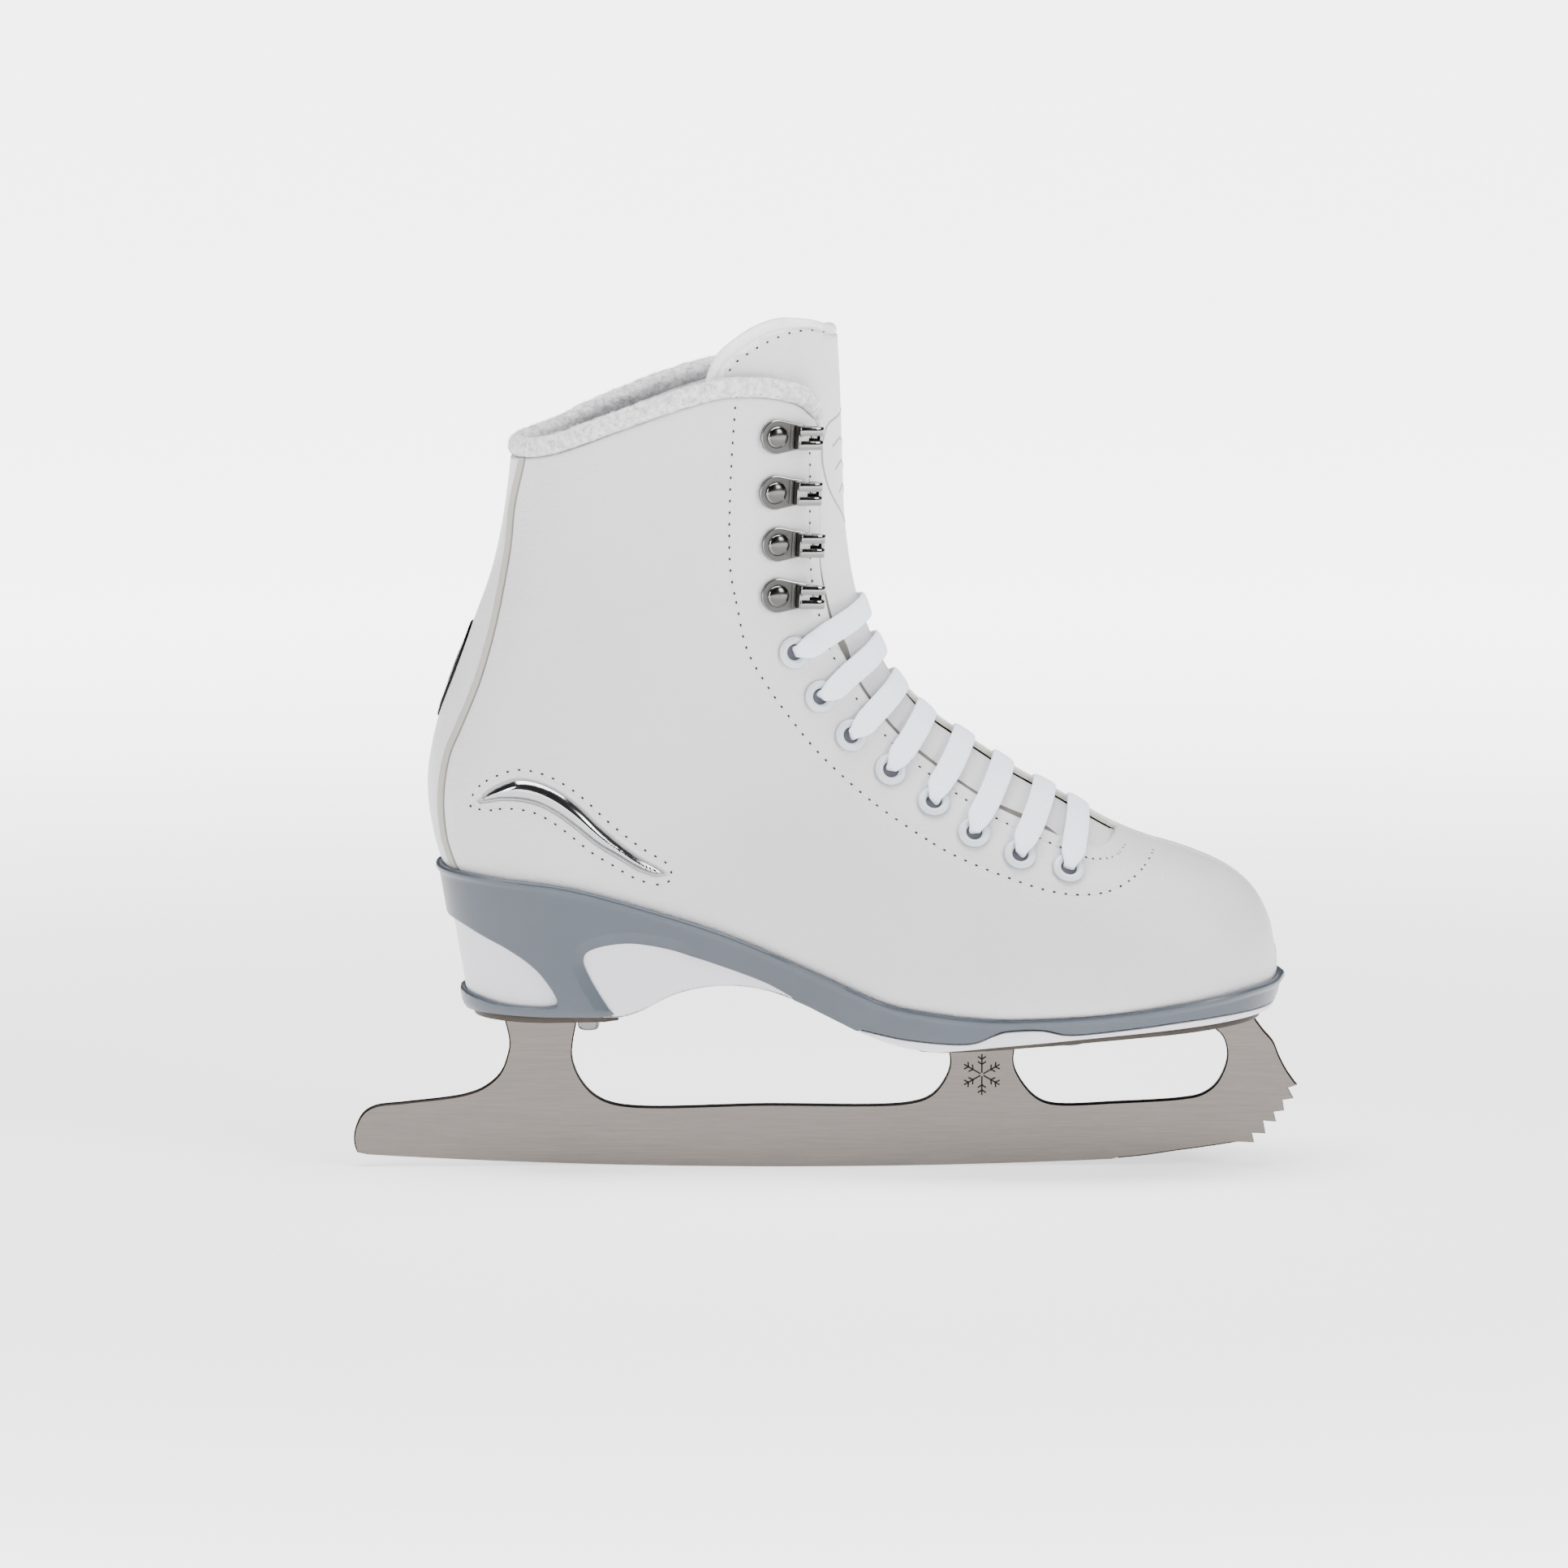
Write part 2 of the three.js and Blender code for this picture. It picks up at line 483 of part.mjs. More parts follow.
// ---------------------------------------------------------------- the boot's layers
const skinSolid = lastSolid(0);
const beyond = (throat, toeTop) => {
  const collar = COLLAR.filter(([x]) => x < throat[0][0] - 0.5);
  return sidePrism([...collar, ...throat, toeTop, [-200, 300], [-200, COLLAR[0][1]]]);
};
const opening = beyond(THROAT, [95, 300]);
const liningOpening = beyond(shifted(THROAT, -22), [110, 300]);
const lastingHole = planPrism(inset(15), 30, 100).intersect(below(BOARD_TOP));
const underBoard = below(BOARD_TOP);
const overBoard = above(BOARD_TOP.map(([x, z]) => [x, z + GAP]));

const SEAM_HALF = 1; // half the width of the piping strips in the side view
const seam = [[-88, 236], ...BACK_SEAM, [-110, 70]];
const behindSeam = (by) => sidePrism([...shifted(seam, by), [-200, 70], [-200, 236]]);
const leather = skinSolid.subtract(lastSolid(LEATHER)).subtract(opening).subtract(lastingHole);
const accentBand = (outline, from, to) =>
  lastSolid(from).subtract(lastSolid(to)).intersect(sidePrism(outline));
const SWOOSH = [...SWOOSH_TOP, ...SWOOSH_LOW];
// A closed clockwise outline moved outwards.
const grown = (outline, by) =>
  outline.map((p, i) => {
    const a = outline[(i + outline.length - 1) % outline.length];
    const b = outline[(i + 1) % outline.length];
    const long = Math.hypot(b[0] - a[0], b[1] - a[1]);
    return [p[0] - ((b[1] - a[1]) / long) * by, p[1] + ((b[0] - a[0]) / long) * by];
  });
const swooshes = accentBand(SWOOSH, -0.5, 0.7);
const halfSpace = (side, clear) =>
  planPrism(
    [
      [-200, side * clear], [60, side * clear], [96, side * clear + 1], [120, side * clear + 3.4],
      [200, side * clear + 4.6], [200, side * 150], [-200, side * 150],
    ],
    -10,
    320,
  );

// Hooks and eyelets stand on the skin in a frame of their own: Z out of the leather, X forward.
function onLeather(solid, at, side, forward = new THREE.Vector3(1, 0, 0)) {
  const { point, normal } = onSkin(at, side);
  const u = forward.clone().addScaledVector(normal, -forward.dot(normal)).normalize();
  const v = normal.clone().cross(u);
  const frame = new THREE.Matrix4().makeBasis(u, v, normal).setPosition(point);
  return solid.transform(frame.toArray());
}

function lathe(profile, segments) {
  const geometry = new THREE.LatheGeometry(profile.map(([x, y]) => new THREE.Vector2(x, y)), segments);
  geometry.rotateX(Math.PI / 2);
  const solid = solidOf(geometry);
  return solid.volume() > 0 ? solid : solidOf(flipped(mergeVertices(bare(geometry), 1e-4)));
}

function bare(geometry) {
  const plain = new THREE.BufferGeometry();
  plain.setAttribute("position", geometry.getAttribute("position"));
  plain.setIndex(geometry.index);
  return plain;
}

const eyelet = lathe(
  [
    [EYELET_HOLE, -3.4], [4.2, -3.4], [4.2, -2.9], [2.9, -2.9], [2.9, 0.8], [EYELET_RADIUS, 0.8],
    [3.7, 1.6], [EYELET_HOLE, 1.3], [EYELET_HOLE, -3.4],
  ],
  8,
);
const eyeletBore = planPrism(roundEnd([0, 0], [3.5, 3.5], 0, 315, 7), -6, 3);

// A hook in profile: a plate along the leather, and at its front a claw that rises and turns back.
const HOOK_CLAW = [
  [3, 0.7], [11.4, 0.7], [13.3, 1.6], [13.9, 3], [13.2, 4.8], [11.4, 5.6], [6, 4.6], [6.1, 3.8],
  [11.2, 4.7], [12.4, 4.1], [12.9, 3], [12.4, 1.9], [11, 1.5], [3, 1.5],
];
function hook() {
  const claw = sidePrism(HOOK_CLAW, -3.6, 3.6).subtract(
    planPrism([[8.6, -1.3], [20, -1.3], [20, 1.3], [8.6, 1.3]], 0.9, 12),
  );
  const plate = planPrism(
    [...roundEnd([0, 0], [5.1, 5.1], 50, 310, 10), [5, -3.6], [9, -3.2], [9, 3.2], [5, 3.6]],
    0.7,
    1.5,
  );
  const rivet = lathe(
    [[0, -3.4], [3.2, -3.4], [3.2, -2.7], [1.7, -2.7], [1.7, 1], [3.4, 1.4], [2.6, 2.6], [0, 3.2]],
    8,
  );
  return plate.add(claw).add(rivet);
}
const hookBore = planPrism(roundEnd([0, 0], [2.15, 2.15], 0, 315, 7), -6, 3);
const HOOK_FORWARD = new THREE.Vector3(1, 0, -0.05);
const hookSolid = hook();

const wallOf = { "-1": leather.intersect(halfSpace(-1, 0.15)), 1: leather.intersect(halfSpace(1, 0.15)) };
const swooshBed = accentBand(grown(SWOOSH, 0.8), -1, 1);
for (const side of [-1, 1]) {
  const label = side < 0 ? "lateral" : "medial";
  let quarter = wallOf[side].subtract(behindSeam(SEAM_HALF + GAP)).subtract(swooshBed);
  EYELETS.forEach((at, i) => {
    quarter = quarter.subtract(onLeather(eyeletBore, at, side));
    add("eyelet_" + label + "_" + (i + 1), onLeather(eyelet, at, side), EYELET_WHITE);
  });
  HOOKS.forEach((at, i) => {
    quarter = quarter.subtract(onLeather(hookBore, at, side, HOOK_FORWARD));
    add("hook_" + label + "_" + (i + 1), onLeather(hookSolid, at, side, HOOK_FORWARD), NICKEL);
  });
  add("quarter_" + label, quarter, WHITE_LEATHER);
  const rear = [[-200, 0], [0, 0], [0, 320], [-200, 320]];
  const half = sidePrism(rear, Math.min(0, side * FAR), Math.max(0, side * FAR));
  add("swoosh_" + label, swooshes.intersect(half), NICKEL);
  const band = lastSolid(-0.5)
    .subtract(lastSolid(LEATHER))
    .intersect(behindSeam(SEAM_HALF))
    .subtract(behindSeam(-SEAM_HALF))
    .intersect(half)
    .subtract(opening)
    .intersect(above(lowered(FEATHER, -0.6)));
  add("piping_" + label, band, PIPING);
}
add("backstay", leather.intersect(behindSeam(-SEAM_HALF - GAP)), WHITE_LEATHER);

const BACK_ACCENT = { z: 151, halfHeight: 14.5, halfWidth: 4.5 };
const accentOval = roundEnd([0, 0], [BACK_ACCENT.halfWidth, BACK_ACCENT.halfHeight], 0, 345, 23);
const accentPrism = planPrism(accentOval, 80, 140).rotate([90, 0, -90]).translate([0, 0, BACK_ACCENT.z]);
add("back_accent", accentPrism.intersect(lastSolid(-1.7).subtract(lastSolid(-GAP))), DARK_GLOSS);

const COUNTER_ZONE = [[-130, 60], [-130, 142], [-108, 142], [-78, 122], [-52, 98], [-40, 88], [-40, 60]];
const PUFF_ZONE = [[100, 40], [100, 120], [150, 120], [150, 40]];
const stiffener = lastSolid(LINING_FROM).subtract(lastSolid(LINING_FROM + STIFFENER)).intersect(overBoard);
add("heel_counter", stiffener.intersect(sidePrism(COUNTER_ZONE)), BOARD_BROWN);
add("toe_puff", stiffener.intersect(sidePrism(PUFF_ZONE)), BOARD_BROWN);

const liningOuter = lastSolid(LINING_FROM);
const stiffRoom = liningOuter
  .subtract(lastSolid(LINING_FROM + STIFFENER + 3 * GAP))
  .intersect(sidePrism(grown(COUNTER_ZONE, 1)).add(sidePrism(grown(PUFF_ZONE, 1))));
const lining = liningOuter
  .subtract(stiffRoom)
  .subtract(lastSolid(LINING_TO))
  .subtract(liningOpening)
  .intersect(overBoard);
// The vamp has its own lining, which meets the shaft's along a seam across the waist.
const WAIST_SEAM_X = 30; // at the insole; the seam leans forward to the instep
const WAIST_SEAM_LEAN = 14;
const vampFrom = (x) => sidePrism([[x, 20], [x + WAIST_SEAM_LEAN, 160], [200, 160], [200, 20]]);
add("lining_vamp", lining.intersect(vampFrom(WAIST_SEAM_X)), PLUSH);
add("lining_shaft", lining.subtract(vampFrom(WAIST_SEAM_X - GAP)), PLUSH);
add("insole_board", liningOuter.intersect(underBoard), BOARD_BROWN);
const footbedRise = LINING_TO - LINING_FROM - BOARD + GAP + FOOTBED;
const footbedTop = BOARD_TOP.map(([x, z]) => [x, z + footbedRise]);
const footbed = lastSolid(LINING_TO + GAP).intersect(below(footbedTop));
add("footbed", footbed, BOARD_BROWN);

// ---------------------------------------------------------------- collar roll
const ROLL_OPEN = 32; // degrees each side of straight ahead that the roll leaves open
const ROLL_STEPS = 25;
const rollLine = shifted(COLLAR, ROLL_RADIUS + 3 * GAP);
const rollRoute = [];
for (let i = 0; i <= ROLL_STEPS; i++) {
  const degrees = ROLL_OPEN + ((360 - 2 * ROLL_OPEN) * i) / ROLL_STEPS;
  const { point, out } = around([-45, 0], (degrees * Math.PI) / 180, (x) => heightAt(rollLine, x));
  rollRoute.push({
    at: point.clone().addScaledVector(out, -ROLL_DEPTH),
    across: out,
    up: new THREE.Vector3(0, 0, 1),
  });
}
const rollEnd = rollRoute.length - 1;
const rollTaper = (i) => ROLL_RADIUS * (i === 0 || i === rollEnd ? 0.6 : 1);
add("collar_roll", ribbon(rollRoute, rollTaper, rollTaper, 8), PLUSH);

// ---------------------------------------------------------------- tongue
const tongueDepth = (extra) => (p) =>
  TONGUE_FACE + (TONGUE_WING - TONGUE_FACE) * (1 - smooth(-7, 2, p.x)) + extra;
const tongueShell = lastSolid(tongueDepth(0)).subtract(lastSolid(tongueDepth(TONGUE_THICKNESS)));
const leafEdge = shifted(THROAT, -4.5);
const { x: pivotX, z: pivotZ } = TONGUE_PIVOT;
const upperLeaf = [
  ...TONGUE_TOP, [20, pivotZ + 0.8], [pivotX, pivotZ + 0.8], ...TONGUE_WING_EDGE,
];
const lowerLeaf = [
  [20, pivotZ], ...leafEdge.filter(([, z]) => z < pivotZ - 1), [96, 92], [100, 130], [50, 175],
];
lowerLeaf.splice(1, 0, [leafEdge.find(([, z]) => z < pivotZ - 1)[0] - 2, pivotZ]);
add("tongue_upper", tongueShell.intersect(sidePrism(upperLeaf)), WHITE_LEATHER);
add("tongue_lower", tongueShell.intersect(sidePrism(lowerLeaf)), WHITE_LEATHER);

// ---------------------------------------------------------------- lace
// One lace crosses the throat eight times, dives through each eyelet, and runs on behind the leather to
// the next eyelet of that side. Each place on it has a point, the direction of its flat face (up), and
// its half-width and half-thickness there.
const FLAT = [LACE_WIDTH / 2, LACE_THICKNESS / 2];
const BUNCHED = [1.5, 1.5];
const FOLDED = [2.9, 1.2];
const RIDGE_DEPTH = 0.4;

function ridgeNear([x, z]) {
  let best = 0;
  for (let ring = 0; ring < RINGS.length - 1; ring += 0.1) {
    const away = (r) => Math.hypot(skin(r, 0).x - x, skin(r, 0).z - z);
    if (away(ring) < away(best)) best = ring;
  }
  const normal = skinNormal(best, 0);
  return { top: skin(best, 0).addScaledVector(normal, -RIDGE_DEPTH), ridge: normal };
}

const crossings = EYELETS.map((at, i) => {
  const { top, ridge } = ridgeNear(LACE_TOPS[i]);
  const ends = {};
  for (const side of [-1, 1]) {
    const { point, normal } = onSkin(at, side);
    const inwards = top.clone().sub(point);
    inwards.addScaledVector(normal, -inwards.dot(normal)).normalize();
    ends[side] = { point, normal, inwards };
  }
  return { at, top, ridge, ends };
});

// Half a crossing, from the eyelet's mouth to the ridge.
function halfBar({ at, top, ends }, side) {
  const { point, normal, inwards } = ends[side];
  const place = (t, n) => point.clone().addScaledVector(inwards, t).addScaledVector(normal, n);
  const lean = normal.clone().sub(inwards).normalize();
  const run = [
    { at: place(0.8, 3.1), up: lean, size: [2.4, 1] },
    { at: place(3, 3.5), up: normal, size: [3.2, 0.9] },
    { at: place(5.8, 2.9), up: normal, size: FLAT },
  ];
  for (const [share, lift] of [[0.42, 1.9], [0.62, 1.5], [0.82, 0.8]]) {
    const over = onSkin([at[0] + (top.x - at[0]) * share, at[1] + (top.z - at[1]) * share], side);
    run.push({ at: over.point.addScaledVector(over.normal, lift), up: over.normal, size: FLAT });
  }
  return run;
}

// Down one eyelet: the bunched lace makes a quarter turn so that it lies flat again behind the leather.
function dive({ ends }, side, towards) {
  const { point, normal, inwards } = ends[side];
  const mouth = inwards.clone().negate();
  return [1.3, -0.8, -3.9].map((n, i) => ({
    at: point.clone().addScaledVector(normal, n),
    up: mouth.clone().multiplyScalar(2 - i).addScaledVector(towards, i).normalize(),
    size: BUNCHED,
  }));
}

const laceRoute = [];
// Each tail end lies against the lining: share of its reach, and depth below the skin.
const TAIL = [[1, -7.6], [0.66, -7.6], [0.36, -7.4], [0.18, -6.8], [0.06, -5]];
const TAIL_REACH = { first: 36, last: 24 };
const THIN = [3, 0.8]; // half-width and half-thickness of a run behind the leather
function tail({ at, ends }, side, reach) {
  const { inwards } = ends[side];
  return TAIL.map(([share, depth]) => {
    const over = onSkin([at[0] - inwards.x * share * reach, at[1] - inwards.z * share * reach], side);
    const where = over.point.clone().addScaledVector(over.normal, depth);
    return { at: where, up: over.normal, size: depth < -6 ? [3.4, 0.8] : FOLDED };
  });
}
const first = crossings[0];
laceRoute.push(...tail(first, -1, TAIL_REACH.first));
laceRoute.push(...dive(first, -1, first.ends[-1].inwards.clone().negate()).reverse());
crossings.forEach((crossing, i) => {
  const from = i % 2 ? 1 : -1;
  const top = { at: crossing.top, up: crossing.ridge, size: FLAT };
  laceRoute.push(...halfBar(crossing, from), top, ...halfBar(crossing, -from).reverse());
  const next = crossings[i + 1];
  const here = crossing.ends[-from];
  if (!next) {
    laceRoute.push(...dive(crossing, -from, here.inwards.clone().negate()));
    laceRoute.push(...tail(crossing, -from, TAIL_REACH.last).reverse());
    return;
  }
  const there = next.ends[-from];
  const towards = there.point.clone().sub(here.point).normalize();
  laceRoute.push(...dive(crossing, -from, towards));
  for (const [share, depth] of [[0.18, -5.7], [0.5, -6], [0.82, -5.7]]) {
    const normal = here.normal.clone().lerp(there.normal, share).normalize();
    const at = here.point.clone().lerp(there.point, share).addScaledVector(normal, depth);
    laceRoute.push({ at, up: normal, size: THIN });
  }
  laceRoute.push(...dive(next, -from, towards.clone().negate()).reverse());
});
const laceFrames = laceRoute.map(({ at, up }, i) => {
  const a = laceRoute[Math.max(0, i - 1)].at;
  const b = laceRoute[Math.min(laceRoute.length - 1, i + 1)].at;
  const travel = b.clone().sub(a).normalize();
  const across = travel.clone().cross(up).normalize();
  return { at, across, up: across.clone().cross(travel) };
});
const laceHalfWidth = (i) => laceRoute[i].size[0];
const laceHalfThickness = (i) => laceRoute[i].size[1];
add("lace", ribbon(laceFrames, laceHalfWidth, laceHalfThickness, 6), LACE_WHITE);

export default root;
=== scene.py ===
"""The looks of a right figure skate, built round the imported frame.

Lengths are in millimetres until a mesh is made.
"""
import math

import bpy
import numpy as np
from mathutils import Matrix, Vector
from mathutils import noise as blender_noise
from mathutils.bvhtree import BVHTree
from mathutils.geometry import tessellate_polygon


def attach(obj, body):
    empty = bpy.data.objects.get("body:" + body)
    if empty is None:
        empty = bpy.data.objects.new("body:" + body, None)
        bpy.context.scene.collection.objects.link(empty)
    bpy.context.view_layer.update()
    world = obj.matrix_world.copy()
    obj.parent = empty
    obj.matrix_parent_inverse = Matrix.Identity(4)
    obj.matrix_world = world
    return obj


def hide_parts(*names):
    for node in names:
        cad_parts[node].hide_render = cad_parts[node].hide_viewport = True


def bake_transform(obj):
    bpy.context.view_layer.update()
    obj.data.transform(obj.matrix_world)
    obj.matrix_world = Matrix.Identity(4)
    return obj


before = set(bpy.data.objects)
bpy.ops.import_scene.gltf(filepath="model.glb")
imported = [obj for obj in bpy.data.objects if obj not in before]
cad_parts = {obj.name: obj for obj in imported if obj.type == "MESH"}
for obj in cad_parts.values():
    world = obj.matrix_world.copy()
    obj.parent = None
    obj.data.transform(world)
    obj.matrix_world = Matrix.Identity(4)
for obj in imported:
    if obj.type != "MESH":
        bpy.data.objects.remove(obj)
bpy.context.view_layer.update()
MM = 0.001
rng = np.random.default_rng(7)
SIDES = {"lateral": -1, "medial": 1}


# ---- camera and light
VIEW_ELEVATION = math.radians(7.2)
VIEW_DISTANCE = 5.0
VIEW_CENTRE = Vector((-0.0125, 0, 0.1158))
VIEW_WIDTH = 0.4706


def look_at(obj, target):
    obj.rotation_euler = (target - obj.location).to_track_quat("-Z", "Y").to_euler()


def add_camera():
    data = bpy.data.cameras.new("camera")
    data.sensor_width = 36
    data.lens = 36 * VIEW_DISTANCE / VIEW_WIDTH
    data.clip_end = 60
    camera = bpy.data.objects.new("camera", data)
    bpy.context.scene.collection.objects.link(camera)
    out = Vector((0, -math.cos(VIEW_ELEVATION), math.sin(VIEW_ELEVATION)))
    camera.location = VIEW_CENTRE + out * VIEW_DISTANCE
    look_at(camera, VIEW_CENTRE)
    bpy.context.scene.camera = camera


def add_light(name, place, size, watts, target=(0, 0, 0.12)):
    data = bpy.data.lights.new(name, "AREA")
    data.shape = "RECTANGLE"
    data.size, data.size_y = size
    data.energy = watts
    light = bpy.data.objects.new(name, data)
    bpy.context.scene.collection.objects.link(light)
    light.location = place
    look_at(light, Vector(target))


add_camera()
add_light("top", (0.0, -0.1, 1.6), (1.8, 1.0), 58)
add_light("right", (1.9, -1.5, 1.2), (0.8, 1.1), 50)
add_light("left", (-2.0, -1.5, 0.9), (0.7, 1.1), 30)
world = bpy.data.worlds.new("studio")
world.use_nodes = True
world.node_tree.nodes["Background"].inputs["Color"].default_value = (0.95, 0.96, 1, 1)
world.node_tree.nodes["Background"].inputs["Strength"].default_value = 0.06
bpy.context.scene.world = world


# ---- materials
def shader(name, colour, roughness, metallic=0.0, **sockets):
    made = bpy.data.materials.new(name)
    made.use_nodes = True
    bsdf = made.node_tree.nodes["Principled BSDF"]
    bsdf.inputs["Base Color"].default_value = (*colour, 1)
    bsdf.inputs["Roughness"].default_value = roughness
    bsdf.inputs["Metallic"].default_value = metallic
    for socket, value in sockets.items():
        bsdf.inputs[socket.replace("_", " ")].default_value = value
    return made


def node(made, kind, inputs=None, **settings):
    new = made.node_tree.nodes.new("ShaderNode" + kind)
    for key, value in settings.items():
        setattr(new, key, value)
    for key, value in (inputs or {}).items():
        if isinstance(value, bpy.types.NodeSocket):
            made.node_tree.links.new(value, new.inputs[key])
        else:
            new.inputs[key].default_value = value
    return new


def place(made, scale=(1, 1, 1), kind="Object"):
    coords = node(made, "TexCoord")
    return node(made, "Mapping", {"Vector": coords.outputs[kind], "Scale": scale}).outputs["Vector"]


def noise(made, scale, detail=3.0, stretch=(1, 1, 1), rough=0.55):
    where = place(made, stretch)
    return node(made, "TexNoise", {"Vector": where, "Scale": scale, "Detail": detail, "Roughness": rough})


def feed(made, value, socket):
    made.node_tree.links.new(value, made.node_tree.nodes["Principled BSDF"].inputs[socket])


def tint(made, factor, dark, light, low=0.35, high=0.65):
    """Colours the shader between two colours by a texture's value."""
    ramp = node(made, "ValToRGB", {"Fac": factor})
    ramp.color_ramp.elements[0].position = low
    ramp.color_ramp.elements[1].position = high
    ramp.color_ramp.elements[0].color = (*dark, 1)
    ramp.color_ramp.elements[1].color = (*light, 1)
    feed(made, ramp.outputs["Color"], "Base Color")


def vary_roughness(made, factor, low, high):
    ranged = node(made, "MapRange", {"Value": factor, "To Min": low, "To Max": high})
    feed(made, ranged.outputs["Result"], "Roughness")


def bump(made, layers):
    """Layers of (height socket, strength, distance in metres), stacked."""
    under = None
    for height, strength, distance in layers:
        inputs = {"Height": height, "Strength": strength, "Distance": distance}
        if under:
            inputs["Normal"] = under
        under = node(made, "Bump", inputs).outputs["Normal"]
    feed(made, under, "Normal")


def leather(name, colour, roughness=0.46):
    made = shader(name, colour, roughness, Coat_Weight=0.12, Coat_Roughness=0.35)
    grain = node(made, "TexVoronoi", {"Vector": place(made), "Scale": 1050.0, "Randomness": 1.0})
    fine = noise(made, 2600.0, 2.0)
    broad = noise(made, 14.0, 4.0)
    crease = noise(made, 160.0, 3.0)
    tint(made, broad.outputs["Fac"], [c * 0.955 for c in colour], colour)
    vary_roughness(made, crease.outputs["Fac"], roughness - 0.06, roughness + 0.08)
    bump(made, [
        (grain.outputs["Distance"], 0.5, 0.0003),
        (fine.outputs["Fac"], 0.3, 0.00014),
        (crease.outputs["Fac"], 0.3, 0.0009),
    ])
    return made


def fleece(name, colour, shade):
    made = shader(name, colour, 0.95, Sheen_Weight=0.6, Sheen_Roughness=0.5)
    tufts = noise(made, 620.0, 5.0, rough=0.7)
    clumps = noise(made, 190.0, 3.0)
    tint(made, tufts.outputs["Fac"], shade, colour, 0.3, 0.6)
    bump(made, [(clumps.outputs["Fac"], 0.5, 0.0012), (tufts.outputs["Fac"], 0.9, 0.0009)])
    return made


def maths(made, operation, *values):
    return node(made, "Math", dict(enumerate(values)), operation=operation).outputs[0]


WEAVE_ROW, WEAVE_RIB = 1.15, 0.95


def woven(name, colour, shade):
    """A herringbone of flat threads; the UV map is in millimetres along and across the tape."""
    made = shader(name, colour, 0.85, Sheen_Weight=0.35, Sheen_Roughness=0.4)
    split = node(made, "SeparateXYZ", {"Vector": place(made, kind="UV")}).outputs
    slope = maths(made, "MULTIPLY", maths(made, "ABSOLUTE", split["Y"]), 0.9)
    shifted = maths(made, "ADD", split["X"], slope)
    wave = maths(made, "SINE", maths(made, "MULTIPLY", shifted, 2 * math.pi / WEAVE_ROW))
    rib = maths(made, "SINE", maths(made, "MULTIPLY", split["Y"], 2 * math.pi / WEAVE_RIB))
    both = maths(made, "MULTIPLY_ADD", wave, 0.55, rib)
    hairs = noise(made, 2400.0, 3.0)
    ranged = node(made, "MapRange", {"Value": both, "From Min": -1.5, "From Max": 1.5})
    tint(made, ranged.outputs["Result"], shade, colour, 0.05, 0.6)
    bump(made, [(ranged.outputs["Result"], 0.4, 0.00018), (hairs.outputs["Fac"], 0.3, 0.00012)])
    return made


def brushed(name, colour, roughness):
    made = shader(name, colour, roughness, 1.0, Anisotropic=0.4)
    lines = noise(made, 90.0, 6.0, (0.9, 20, 42), 0.75)
    cloud = noise(made, 26.0, 3.0, (0.5, 1, 1.6))
    tint(made, lines.outputs["Fac"], [c * 0.86 for c in colour], [min(1, c * 1.1) for c in colour], 0.3, 0.7)
    vary_roughness(made, cloud.outputs["Fac"], roughness - 0.05, roughness + 0.08)
    bump(made, [(lines.outputs["Fac"], 0.12, 0.00006)])
    return made


def moulded(name, colour, roughness, deep=0.93, **sockets):
    made = shader(name, colour, roughness, **sockets)
    cloud = noise(made, 22.0, 4.0)
    skin_grain = noise(made, 900.0, 2.0)
    tint(made, cloud.outputs["Fac"], [c * deep for c in colour], colour)
    vary_roughness(made, cloud.outputs["Fac"], roughness - 0.05, roughness + 0.07)
    bump(made, [(skin_grain.outputs["Fac"], 0.1, 0.0001)])
    return made


def polished(name, colour, roughness):
    made = shader(name, colour, roughness, 1.0)
    wear = noise(made, 300.0, 4.0)
    vary_roughness(made, wear.outputs["Fac"], roughness, roughness + 0.1)
    bump(made, [(wear.outputs["Fac"], 0.04, 0.0001)])
    return made


LEATHER = leather("leather_white", (0.62, 0.615, 0.635))
TONGUE_LEATHER = leather("tongue_white", (0.66, 0.655, 0.67), 0.5)
BINDING = leather("binding_white", (0.86, 0.86, 0.88), 0.36)
RAW_EDGE = moulded("raw_edge", (0.60, 0.56, 0.46), 0.85)
PIPING = moulded("piping_beige", (0.37, 0.36, 0.32), 0.8)
PLUSH = fleece("plush_collar", (0.88, 0.86, 0.88), (0.36, 0.345, 0.36))
PLUSH_INNER = fleece("plush_lining", (0.62, 0.61, 0.64), (0.32, 0.31, 0.34))
FOOTBED = woven("footbed_cloth", (0.62, 0.62, 0.66), (0.42, 0.42, 0.46))
WHITE_SOLE = moulded("sole_white", (0.66, 0.66, 0.70), 0.36, 0.97, Coat_Weight=0.1)
GREY_SOLE = moulded("sole_grey", (0.055, 0.069, 0.088), 0.36, 0.8, Coat_Weight=0.15, Coat_Roughness=0.3)
STEEL = brushed("blade_steel", (0.19, 0.170, 0.155), 0.38)
EDGE_STEEL = polished("blade_edge", (0.02, 0.016, 0.014), 0.4)
GROUND_STEEL = brushed("running_edge", (0.45, 0.44, 0.43), 0.22)
PLATE_STEEL = brushed("plate_steel", (0.06, 0.052, 0.045), 0.5)
NICKEL = polished("nickel", (0.18, 0.177, 0.174), 0.07)
SANDED = polished("nickel_sanded", (0.10, 0.098, 0.095), 0.36)
# Painted reflection: the rivet's dome is a darker copy of the nickel, standing in for the dark surroundings
# it mirrors.
DOME_PAINTED_REFLECTION = polished("nickel_dome_painted_reflection", (0.09, 0.088, 0.085), 0.14)
sand = noise(SANDED, 3200.0, 3.0)
bump(SANDED, [(sand.outputs["Fac"], 0.9, 0.0003)])
ENAMEL = moulded("eyelet_enamel", (0.55, 0.60, 0.64), 0.3, 0.97, Coat_Weight=0.4)
